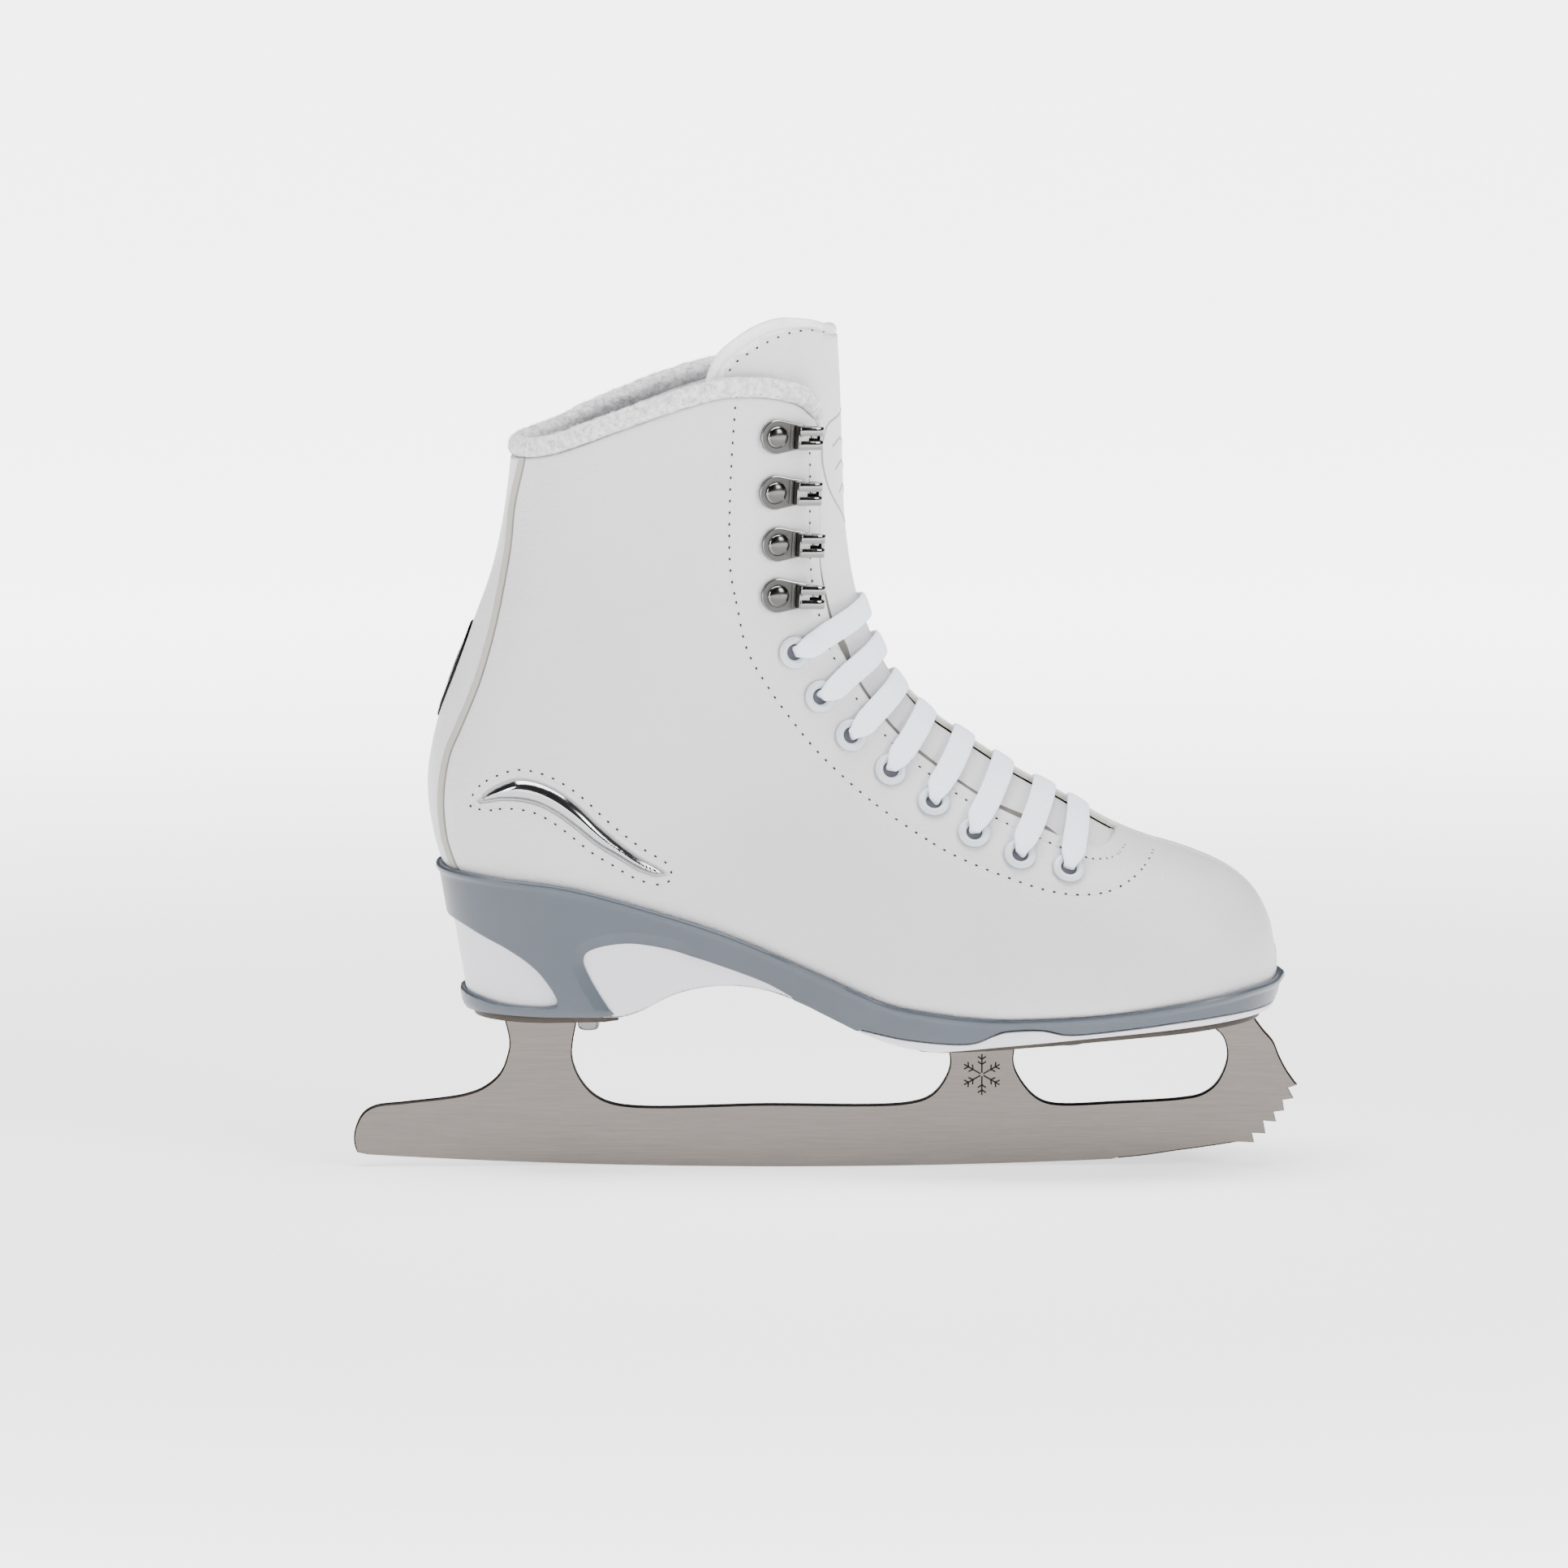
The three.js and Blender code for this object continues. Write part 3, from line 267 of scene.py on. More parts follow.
# Painted shade: a thin grey ring at the flange's outer edge stands in for the shadow round the eyelet.
EYELET_EDGE_SHADE = moulded("eyelet_edge_painted_shade", (0.26, 0.28, 0.31), 0.5)
# Painted shade: the bore and a floor closing it are dark where the eyelet's hole only lies in shadow.
EYELET_BORE_SHADE = moulded("eyelet_bore_painted_shade", (0.075, 0.078, 0.095), 0.85)
# Painted shade: a dark strip on the tongue beside the outer side's facing stands in for the shadow in the gap
# there.
PAINTED_GAP_SHADE = moulded("throat_gap_painted_shade", (0.15, 0.14, 0.125), 0.9)
LACE = woven("lace_white", (0.88, 0.91, 1.0), (0.77, 0.80, 0.90))
THREAD = woven("thread_white", (0.76, 0.755, 0.75), (0.6, 0.6, 0.6))
GREY_THREAD = woven("thread_grey", (0.30, 0.31, 0.33), (0.2, 0.2, 0.22))
# Painted shade: each needle hole is a small dark disc on the leather standing in for the shadow in the hole.
HOLE_SHADE = shader("needle_hole_painted_shade", (0.035, 0.032, 0.03), 0.95)
CHROME = polished("accent_chrome", (0.42, 0.42, 0.43), 0.06)
BLACK = polished("accent_black", (0.012, 0.012, 0.014), 0.12)
BOARD = moulded("leatherboard", (0.40, 0.29, 0.19), 0.85)
# Painted light: the floor glows, dimmer near the skate and brighter further out, though it is no lamp.
GLOWING_FLOOR = shader("floor_white", (0.9, 0.9, 0.905), 0.8, Emission_Color=(1, 1, 1, 1))
away = node(GLOWING_FLOOR, "VectorMath", {0: node(GLOWING_FLOOR, "TexCoord").outputs["Object"]}, operation="LENGTH")
glow = node(GLOWING_FLOOR, "MapRange", {
    "Value": away.outputs["Value"], "From Min": 0.3, "From Max": 1.5, "To Min": 1.3, "To Max": 5.2,
}, interpolation_type="SMOOTHSTEP")
feed(GLOWING_FLOOR, glow.outputs["Result"], "Emission Strength")


# ---- lines and fields in the side view
def along(table, at):
    """Rows of a table at fractional indices, on a Catmull-Rom curve."""
    table = np.asarray(table, float)
    at = np.atleast_1d(np.asarray(at, float))
    last = len(table) - 1
    i = np.clip(np.floor(at).astype(int), 0, last - 1)
    f = (at - i)[:, None] if table.ndim > 1 else at - i
    a, b, c, d = (table[np.clip(i + k, 0, last)] for k in (-1, 0, 1, 2))
    return 0.5 * (2 * b + (c - a) * f + (2 * a - 5 * b + 4 * c - d) * f**2 + (3 * b - a - 3 * c + d) * f**3)


CURVE_PIECES = 6  # between each two points


def curve(points):
    """A smooth line through points."""
    return along(points, np.linspace(0, len(points) - 1, (len(points) - 1) * CURVE_PIECES + 1))


def run_lengths(line):
    """How far along the line each of its points is."""
    return np.concatenate([[0], np.cumsum(np.linalg.norm(np.diff(line, axis=0), axis=1))])


def spread(line, count):
    """A number of points at even distances along a line."""
    runs = run_lengths(line)
    at = np.linspace(0, runs[-1], count)
    return np.stack([np.interp(at, runs, line[:, k]) for k in range(line.shape[1])], axis=1)


def resample(line, spacing):
    line = np.asarray(line, float)
    return spread(line, max(2, int(round(run_lengths(line)[-1] / spacing)) + 1))


def resample_loop(loop, spacing):
    return resample(np.vstack([loop, loop[:1]]), spacing)[:-1]


def sideways(line, distance):
    """The line moved to the left of its direction."""
    line = np.asarray(line, float)
    run = np.gradient(line, axis=0)
    run /= np.linalg.norm(run, axis=1)[:, None]
    return line + distance * np.stack([-run[:, 1], run[:, 0]], axis=1)


def to_line(points, line, closed=False):
    """Distance from side-view points to a line."""
    line = np.asarray(line, float)
    if closed:
        line = np.vstack([line, line[:1]])
    best = np.full(len(points), 1e9)
    for a, b in zip(line[:-1], line[1:]):
        span = b - a
        t = np.clip(((points - a) @ span) / max(span @ span, 1e-9), 0, 1)
        best = np.minimum(best, np.linalg.norm(points - a - t[:, None] * span, axis=1))
    return best


def inside(points, loop):
    loop = np.asarray(loop, float)
    odd = np.zeros(len(points), bool)
    x, z = points[:, 0], points[:, 1]
    for a, b in zip(loop, np.roll(loop, -1, axis=0)):
        if a[1] == b[1]:
            continue
        crosses = (a[1] > z) != (b[1] > z)
        odd ^= crosses & (x < (b[0] - a[0]) * (z - a[1]) / (b[1] - a[1]) + a[0])
    return odd


def field(points, loop):
    """Distance to a loop, positive outside it."""
    return np.where(inside(points, loop), -1, 1) * to_line(points, loop, True)


def height(line, x):
    line = np.asarray(line, float)
    return np.interp(x, line[:, 0], line[:, 1])


def smooth(low, high, value):
    t = np.clip((value - low) / (high - low), 0, 1)
    return t * t * (3 - 2 * t)


def bell(value, middle, width):
    return np.exp(-(((value - middle) / width) ** 2))


def full_turn(count):
    return np.linspace(0, 2 * np.pi, count, endpoint=False)


# ---- the boot's skin
# top x, top z, low x, low z, half-width, belly, crown, base, side
RINGS = np.array([
    [5.2, 264, -92.5, 243, 39.5, 0.5, 2.1, 2.2, 0],
    [6.6, 238, -94, 219, 38.6, 0.5, 2.1, 2.2, 0],
    [7.4, 213, -96.3, 199, 37.6, 0.5, 2.1, 2.2, 0],
    [8.2, 195, -99.8, 182, 36.7, 0.48, 2.1, 2.2, 0],
    [11, 176.5, -105, 167, 36, 0.46, 2.1, 2.2, 0],
    [15.5, 163, -111, 151, 35.6, 0.43, 2.1, 2.2, 0],
    [21, 151.5, -116.3, 136, 35.4, 0.4, 2.15, 2.2, 0],
    [27.5, 142.5, -119.4, 119, 35.2, 0.37, 2.15, 2.3, 0],
    [33, 137.2, -118, 103.5, 35, 0.34, 2.2, 2.4, 0],
    [38, 133.6, -113.5, 91, 34.8, 0.32, 2.2, 2.7, 0],
    [43, 130.2, -103, 83.5, 34.8, 0.31, 2.2, 3.4, 0],
    [49, 126.2, -80, 80.5, 35.2, 0.3, 2.2, 4.2, 0],
    [55.5, 121.8, -50, 74.5, 36.5, 0.3, 2.3, 5, -0.3],
    [62.5, 117.8, -18, 64, 38.8, 0.29, 2.3, 5, -0.6],
    [70, 113.8, 10, 52, 41.5, 0.28, 2.25, 5, -0.8],
    [78, 109, 34, 46.8, 43.6, 0.28, 2.2, 5, -0.6],
    [86.6, 104.2, 56, 46.2, 44.6, 0.28, 2.2, 5, 0],
    [96, 100.2, 77, 47.2, 44.2, 0.28, 2.25, 5, 0.9],
    [106, 97, 96, 48.8, 42.3, 0.28, 2.35, 5, 2],
    [115.5, 93.2, 112, 50.4, 38.5, 0.28, 2.4, 4.5, 3],
    [123, 89, 122, 51.4, 33, 0.3, 2.4, 4, 3.7],
    [129.2, 83, 129, 52.2, 26, 0.34, 2.35, 3.4, 4.2],
    [133.3, 75, 133.2, 53.6, 17.5, 0.4, 2.2, 2.6, 4.5],
    [135, 67, 135, 57, 8, 0.5, 2, 2, 4.6],
])
COLLAR = curve([
    [-96, 215], [-86, 216.8], [-78, 219.2], [-63, 225.2], [-47, 231.2], [-36, 234.6], [-27, 236],
    [-16, 235.2], [-8.4, 232.9], [-4.5, 229.6], [-2.3, 227.5],
])
THROAT = curve([
    [-2.3, 227.5], [-1.6, 217], [-1.6, 198], [-1.4, 184], [0.6, 172.2], [3.3, 162.2], [7.2, 154.4],
    [11.1, 147], [16.2, 139.8], [21.1, 134], [26.4, 129], [31.8, 124.8], [37.9, 120.5], [44.5, 116.3],
    [50.6, 112.7], [56.6, 109.8], [63.9, 106.6], [71.2, 103.4], [79, 101], [84, 101.2], [87.4, 103.6],
])
BACK_SEAM = curve([
    [-88, 236], [-90.7, 217], [-93.9, 202], [-95.1, 190], [-97.1, 178.2], [-100, 164.5], [-104.4, 149.3],
    [-109.8, 136], [-113.3, 127.6], [-115, 119], [-115.4, 110.5], [-114.4, 101.5], [-112.4, 95],
    [-110, 88], [-110, 70],
])
FEATHER = curve([
    [-119, 92.6], [-97, 90.6], [-77, 88.3], [-53, 82], [-28.6, 74.2], [-4.3, 63.8], [10.4, 57.2],
    [20, 53.5], [32.3, 51.3], [44.5, 49.9], [56.6, 49.4], [81, 50.4], [100.5, 52.7], [117.5, 55.4],
    [127.3, 57.2], [139, 58.2],
])
EYELETS = [
    (-9.5, 158.9), (-1.8, 145.4), (7.4, 133.5), (19.3, 123), (32.2, 113.8), (44.2, 105.1),
    (57.9, 98.8), (72.4, 94.6),
]
LACE_TOPS = [
    (12.3, 170.1), (16, 158.3), (21.8, 147.3), (29.1, 138), (40.1, 129.4), (51.8, 121.5),
    (64.7, 114.6), (75.2, 110),
]
HOOKS = [(-15.1, 224), (-15.5, 207.3), (-14.7, 191.6), (-14.8, 176.2)]
SWOOSH = np.vstack([
    curve([
        [-103.5, 114], [-100.7, 117], [-96, 119.6], [-91.4, 121], [-85.6, 120.1], [-79.7, 117.4],
        [-73.8, 113], [-68, 107.4], [-62, 102.3], [-56.2, 98], [-50.3, 94.6], [-48, 93.2],
    ]),
    curve([
        [-50.8, 93], [-56.2, 94.9], [-62, 98.4], [-68, 102], [-73.8, 106.7], [-79.7, 111.1],
        [-85.6, 114.1], [-91.4, 115.3], [-97.4, 115.3],
    ]),
])


def skin_points(ring, turn):
    tx, tz, lx, lz, wide, belly, crown, base, side = along(RINGS, ring).T
    c, s = np.cos(2 * np.pi * turn), np.sin(2 * np.pi * turn)
    power = 2 / np.where(c >= 0, crown, base)
    at = belly + np.sign(c) * np.abs(c) ** power * np.where(c >= 0, 1 - belly, belly)
    y = side + wide * np.sign(s) * np.abs(s) ** power
    return np.stack([lx + (tx - lx) * at, y, lz + (tz - lz) * at], axis=1)


TOE_MIDDLE = np.array([RINGS[-1, 0], RINGS[-1, 8], (RINGS[-1, 1] + RINGS[-1, 3]) / 2])
TOE_NOSE = np.array([0.7, 0, 0])  # how far the toe's tip stands in front of the last ring


def skin_grid(rows, columns):
    """Evenly spaced points over the skin, a row for each ring plane, closing at the toe."""
    turns = np.linspace(0, 1, 400)
    table = []
    for ring in np.linspace(0, len(RINGS) - 1, rows):
        table.append(spread(skin_points(np.full(len(turns), ring), turns), columns))
    rim = table[-1]
    for angle in np.radians([18, 36, 54, 72, 86]):
        table.append(TOE_MIDDLE + (rim - TOE_MIDDLE) * math.cos(angle) + TOE_NOSE * math.sin(angle))
    return np.array(table)


# ---- meshes in numpy
def grid_faces(rows, columns, wrap=True):
    r, c = np.meshgrid(np.arange(rows - 1), np.arange(columns if wrap else columns - 1), indexing="ij")
    a = r * columns + c
    b = r * columns + (c + 1) % columns
    d, e = a + columns, b + columns
    return np.concatenate([np.stack([a, b, e], -1).reshape(-1, 3), np.stack([a, e, d], -1).reshape(-1, 3)])


def outward(points, faces):
    a, b, c = (points[faces[:, k]] for k in range(3))
    volume = np.einsum("ij,ij->i", a, np.cross(b, c)).sum()
    return faces if volume > 0 else faces[:, ::-1]


def loft(rings):
    """A closed solid through rings of the same count."""
    rings = np.asarray(rings, float)
    rows, columns = rings.shape[:2]
    points = np.vstack([rings.reshape(-1, 3), rings[0].mean(0), rings[-1].mean(0)])
    c = np.arange(columns)
    nxt = (c + 1) % columns
    last = (rows - 1) * columns
    first_cap = np.stack([np.full(columns, rows * columns), nxt, c], -1)
    last_cap = np.stack([np.full(columns, rows * columns + 1), last + c, last + nxt], -1)
    faces = np.vstack([grid_faces(rows, columns), first_cap, last_cap])
    return points, outward(points, faces)


def lathe(profile, segments=40):
    """A closed solid turned about the third axis from (radius, height) points that start and end on it."""
    angles = full_turn(segments)
    ring = np.stack([np.cos(angles), np.sin(angles), np.zeros(segments)], -1)
    return loft([ring * [r, r, 0] + [0, 0, h] for r, h in profile])


def merged(parts):
    points, faces, count = [], [], 0
    for p, f in parts:
        points.append(p)
        faces.append(np.asarray(f) + count)
        count += len(p)
    return np.vstack(points), np.vstack(faces)


def copies(template, frames):
    """The template at each frame of (place, first axis, second axis, third axis)."""
    points, faces = template
    frames = np.asarray(frames, float)
    placed = frames[:, None, 0] + np.einsum("kj,njd->nkd", points, frames[:, 1:])
    shifts = np.arange(len(frames)) * len(points)
    return placed.reshape(-1, 3), (faces[None] + shifts[:, None, None]).reshape(-1, 3)


def unit(v):
    v = np.asarray(v, float)
    return v / np.maximum(np.linalg.norm(v, axis=-1, keepdims=True), 1e-9)


def across_from(v, out):
    """The direction of v with what runs along out taken away."""
    return unit(v - out * np.dot(v, out))


def step_at(points, i):
    """From the point before to the point after, held at both ends."""
    return points[min(i + 1, len(points) - 1)] - points[max(i - 1, 0)]


def vertex_normals(points, faces):
    a, b, c = (points[faces[:, k]] for k in range(3))
    across = np.cross(b - a, c - a)
    total = np.zeros_like(points)
    for k in range(3):
        np.add.at(total, faces[:, k], across)
    return unit(total)


def facing(points, faces, towards):
    """The faces and their corners' normals, turned to look the given way or ways."""
    normals = vertex_normals(points, faces)
    if (normals * towards).sum() < 0:
        return faces[:, ::-1], -normals
    return faces, normals


def piece(name, solid, looks, which=None, body="boot", nodes=(), slot=None, angle=35, uv=None):
    """A named object in metres from points and faces in millimetres."""
    points, faces = solid
    mesh = bpy.data.meshes.new(name)
    mesh.from_pydata((np.asarray(points) * MM).tolist(), [], np.asarray(faces).tolist())
    for look in looks if isinstance(looks, (list, tuple)) else [looks]:
        mesh.materials.append(look)
    if which is not None:
        mesh.polygons.foreach_set("material_index", np.asarray(which, np.int32))
    if uv is not None:
        layer = mesh.uv_layers.new(name="weave")
        corner = np.zeros(len(mesh.loops), np.int32)
        mesh.loops.foreach_get("vertex_index", corner)
        layer.data.foreach_set("uv", np.asarray(uv, np.float32)[corner].ravel())
    mesh.shade_smooth()
    mesh.set_sharp_from_angle(angle=math.radians(angle))
    mesh.update()
    made = bpy.data.objects.new(name, mesh)
    bpy.context.scene.collection.objects.link(made)
    if body:
        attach(made, body)
    if nodes:
        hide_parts(*nodes)
    return made


def dress(name, solid, looks, slot, which=None, **more):
    """The piece that stands for the frame's node of that name."""
    return piece(name + "_look", solid, looks, which, nodes=[name], slot=slot, **more)


def cut(sheet, values, keep=True):
    """Cuts a sheet's faces along values = 0 and, with keep, drops what lies below it."""
    v, t = sheet
    values = np.where(np.abs(values) < 1e-5, 1e-5, values)
    up = values[t] > 0
    count = up.sum(1)
    high, low = [t[count == 3]], [t[count == 0]]
    mixed = t[(count == 1) | (count == 2)]
    pairs = np.vstack([mixed[:, [0, 1]], mixed[:, [1, 2]], mixed[:, [2, 0]]])
    pairs = pairs[(values[pairs[:, 0]] > 0) != (values[pairs[:, 1]] > 0)]
    keys = np.unique(np.sort(pairs, axis=1) @ np.array([len(v), 1]))
    a, b = keys // len(v), keys % len(v)
    share = (values[a] / (values[a] - values[b]))[:, None]
    new = v[a] + (v[b] - v[a]) * share

    def crossing(i, j):
        return len(v) + np.searchsorted(keys, np.minimum(i, j) * len(v) + np.maximum(i, j))

    for ups in (1, 2):
        some = count == ups
        alone = np.argmax(up[some] == (ups == 1), axis=1)
        rows = np.arange(len(alone))
        a, b, c = (t[some][rows, (alone + k) % 3] for k in range(3))
        ab, ac = crossing(a, b), crossing(a, c)
        tip = np.stack([a, ab, ac], 1)
        rest = np.vstack([np.stack([ab, b, c], 1), np.stack([ab, c, ac], 1)])
        (high if ups == 1 else low).append(tip)
        (low if ups == 1 else high).append(rest)
    faces = np.vstack(high if keep else high + low)
    used, faces = np.unique(faces, return_inverse=True)
    return np.vstack([v, new])[used], faces.reshape(-1, 3)


def border(faces):
    """The directed edges that belong to one face only."""
    edges = np.vstack([faces[:, [0, 1]], faces[:, [1, 2]], faces[:, [2, 0]]])
    top = faces.max() + 1
    codes = edges[:, 0].astype(np.int64) * top + edges[:, 1]
    back = edges[:, 1].astype(np.int64) * top + edges[:, 0]
    return edges[~np.isin(codes, back)]


def shell(sheet, thickness, depth=0.0, inner=None):
    """A closed panel from a sheet. Returns its solid and a mark for each face: 0 out, 1 in, 2 rim."""
    v, t = sheet
    outer = v[:, :3] - v[:, 3:6] * np.reshape(depth, (-1, 1))
    if inner is None:
        inner = v[:, :3] - v[:, 3:6] * np.reshape(np.zeros(len(v)) + thickness, (-1, 1))
    edge = border(t)
    count = len(v)
    rim = np.vstack([
        np.stack([edge[:, 1], edge[:, 0], edge[:, 0] + count], 1),
        np.stack([edge[:, 1], edge[:, 0] + count, edge[:, 1] + count], 1),
    ])
    faces = np.vstack([t, t[:, ::-1] + count, rim])
    marks = np.concatenate([np.zeros(len(t)), np.ones(len(t)), np.full(len(rim), 2)]).astype(int)
    return (np.vstack([outer, inner]), faces), marks


def rounded(distance, radius):
    """How far a surface has fallen away at a distance from its rounded edge."""
    over = np.clip(1 - distance / radius, 0, 1)
    return radius * (1 - np.sqrt(1 - over**2))


# ---- the skin as a sheet, and places on it
SKIN_ROWS, SKIN_COLUMNS = 210, 241
table = skin_grid(SKIN_ROWS, SKIN_COLUMNS)[:, :-1]
rows, columns = table.shape[:2]
skin_at = np.vstack([table.reshape(-1, 3), TOE_MIDDLE + TOE_NOSE])
cap = (rows - 1) * columns + np.arange(columns)
skin_faces = np.vstack([
    grid_faces(rows, columns),
    np.stack([cap, np.roll(cap, -1), np.full(columns, rows * columns)], 1),
])
skin_faces, skin_out = facing(skin_at, skin_faces, np.sign(skin_at) * [0, 1, 0])
SKIN = (np.hstack([skin_at, skin_out]), skin_faces)
tree = BVHTree.FromPolygons(skin_at.tolist(), skin_faces.tolist())


def smooth_hit(start, direction):
    """Where a ray meets the skin, with a normal smoothed over the face's corners."""
    where, _, index, _ = tree.ray_cast(Vector(start), Vector(direction))
    if where is None:
        return None
    corners = skin_faces[index]
    where = np.array(where)
    weights = 1 / (np.linalg.norm(skin_at[corners] - where, axis=1) + 0.05)
    return where, unit(weights @ skin_out[corners])


def on_side(x, z, side):
    """The skin at a side-view point; side is -1 for the outer side and 1 for the inner."""
    return smooth_hit((x, side * 90, z), (0, -side, 0))


def on_top(x, y):
    return smooth_hit((x, y, 300), (0, 0, -1))


def around(centre, angle, line, rise=0.0):
    """The skin straight out from a point in plan, at the height of a side-view line."""
    out = np.array([math.cos(angle), math.sin(angle), 0])
    axis = np.array([*centre, 0.0])
    found = axis + out * 20
    for _ in range(6):
        start = axis + out * 160
        start[2] = height(line, found[0]) + rise
        found, _ = smooth_hit(start, -out)
    return found, out


def centre_line(x):
    return np.interp(x, [-200, 60, 96, 120, 200], [0, 0, 1, 3.4, 4.6])


ABOVE = [[95, 300], [-200, 300], [-200, COLLAR[0, 1]]]  # closes the opening's outline over the boot
OPENING = np.vstack([COLLAR, THROAT[1:], ABOVE])


def seam_offset(points):
    """Distance in front of the back seam in the side view."""
    order = np.argsort(BACK_SEAM[:, 1])
    ahead = points[:, 0] > np.interp(points[:, 1], BACK_SEAM[order, 1], BACK_SEAM[order, 0])
    return np.where(ahead, 1, -1) * to_line(points, BACK_SEAM)


def above_feather(points, drop):
    return points[:, 1] - height(FEATHER, points[:, 0]) + drop


def flat(v):
    return v[:, [0, 2]]


def trimmed(sheet, value, levels=(0,)):
    """Cuts a sheet by a function of its vertices, with extra lines of vertices at further levels."""
    for level in sorted(levels, reverse=True):
        sheet = cut(sheet, value(sheet[0]) - level, keep=level == 0)
    return sheet


# ---- leather panels
LEATHER_THICKNESS = 1.8
EDGE_RADIUS = 0.8
EDGE_LEVELS = (0, 0.1, 0.35, 0.8)
SEAM_GAP = 0.25
PIPING_HALF = 0.85
SWOOSH_DEPTH = 0.9
SWOOSH_ROOM = 0.5


def stitch_groove(v, lines):
    depth = np.zeros(len(v))
    for line in lines:
        depth += 0.22 * bell(to_line(flat(v), line), 0, 0.9)
    return depth


# ---- lines of stitching, in the side view
EYESTAY_LINE = curve([
    [-26.7, 236.5], [-27.9, 219.9], [-28.6, 204.1], [-28.6, 186.1], [-26.4, 173.1], [-23.3, 159.7],
    [-16.4, 147.5], [-10.4, 139], [-4, 130.8], [4, 122.6], [14.7, 113.5], [30.8, 103], [41.5, 97.4],
    [55.7, 91.9], [66.4, 88.6], [75.6, 87.3], [84.9, 88.2], [92.4, 91.9], [96.8, 96.1], [98, 97.8],
])
THROAT_ROW = sideways(resample(THROAT, 2.0), -3.1)[1:-7]
THROAT_END = curve([[71.3, 100.4], [78.8, 97.2], [86.1, 97.3], [89.5, 99.8]])


def grown(loop, by):
    """A closed outline moved outwards, whichever way round it runs, by one distance or one a point."""
    loop = np.asarray(loop, float)
    x, z = loop.T
    turn = np.sign((x * np.roll(z, -1) - np.roll(x, -1) * z).sum())
    run = unit(np.roll(loop, -1, axis=0) - np.roll(loop, 1, axis=0))
    return loop + turn * np.reshape(by, (-1, 1)) * np.stack([run[:, 1], -run[:, 0]], axis=1)


SWOOSH = resample_loop(SWOOSH, 1.0)
SWOOSH_ROW = grown(SWOOSH, 3.1)
SWOOSH_ROW = resample(np.vstack([SWOOSH_ROW, SWOOSH_ROW[:1]]), 2.0)
BACK_ROW = sideways(resample(BACK_SEAM[8:], 2.0), 3.3)


# ---- quarters, backstay, piping
above_sole = trimmed(SKIN, lambda v: above_feather(flat(v), 3.2))
shared = trimmed(above_sole, lambda v: field(flat(v), OPENING), EDGE_LEVELS)


def swoosh_field(v):
    near = (v[:, 0] > -112) & (v[:, 0] < -40) & (v[:, 2] > 86) & (v[:, 2] < 128)
    found = np.full(len(v), 20.0)
    found[near] = field(flat(v[near]), SWOOSH)
    return found


def edge_depth(v, others=(), edge=None):
    depth = rounded(field(flat(v), OPENING) if edge is None else edge, EDGE_RADIUS)
    for distance, radius in others:
        depth = np.maximum(depth, rounded(distance, radius))
    return depth


STITCHED = (EYESTAY_LINE, THROAT_ROW, THROAT_END, SWOOSH_ROW)
RIDGE_EDGE = 1.6  # where the inner side's facing ends, next to the ridge of the instep


def inner_side_field(v):
    """The inner side's facing runs closer to the ridge than the outer side's in the lower throat."""
    share = smooth(8, 34, v[:, 0])
    end = RIDGE_EDGE - 12 * smooth(85, 89, v[:, 0])
    return (1 - share) * field(flat(v), OPENING) + share * (v[:, 1] - end)


for label, side in SIDES.items():
    def from_centre(v, side=side):
        return side * (v[:, 1] - centre_line(v[:, 0])) - SEAM_GAP / 2

    edge = inner_side_field if side > 0 else (lambda v: field(flat(v), OPENING))
    panel = trimmed(above_sole, from_centre, (0, 0.15, 0.5, 1.2))
    panel = trimmed(panel, edge, EDGE_LEVELS)
    panel = trimmed(panel, lambda v: seam_offset(flat(v)) - PIPING_HALF, (0, 0.3, 0.9))
    panel = trimmed(panel, lambda v: swoosh_field(v) + 1, ())
    for level in (SWOOSH_ROOM, SWOOSH_ROOM + 0.35, SWOOSH_ROOM + 0.9):
        panel = cut(panel, swoosh_field(panel[0]) - level, keep=False)
    v = panel[0]
    depth = edge_depth(v, [(from_centre(v), 1.2), (seam_offset(flat(v)) - PIPING_HALF, 0.9)], edge(v))
    depth = depth + stitch_groove(v, STITCHED)
    bed = swoosh_field(v)
    depth = np.maximum(depth, np.clip((SWOOSH_ROOM + 0.35 - bed) / 0.35, 0, 1) * SWOOSH_DEPTH)
    depth = depth + 0.12 * bell(bed, SWOOSH_ROOM, 1.2)
    solid, marks = shell(panel, LEATHER_THICKNESS, depth)
    dress("quarter_" + label, solid, [LEATHER, RAW_EDGE], "leather_white", marks // 2, angle=50)

    strip = trimmed(shared, lambda v: seam_offset(flat(v)) + PIPING_HALF - 0.05, (0,))
    strip = trimmed(strip, lambda v: PIPING_HALF - 0.05 - seam_offset(flat(v)), (0, 0.8))
    strip = trimmed(strip, lambda v, side=side: side * v[:, 1] - 0.02)
    across = seam_offset(flat(strip[0])) / PIPING_HALF
    solid, marks = shell(strip, LEATHER_THICKNESS, -0.62 * np.sqrt(np.clip(1 - across**2, 0, 1)) + 0.2)
    dress("piping_" + label, solid, PIPING, "piping_beige")

back = trimmed(shared, lambda v: -seam_offset(flat(v)) - PIPING_HALF, (0, 0.3, 0.9))
depth = edge_depth(back[0], [(-seam_offset(flat(back[0])) - PIPING_HALF, 0.9)])
solid, marks = shell(back, LEATHER_THICKNESS, depth + stitch_groove(back[0], [BACK_ROW]))
dress("backstay", solid, [LEATHER, RAW_EDGE], "leather_white", marks // 2, angle=50)


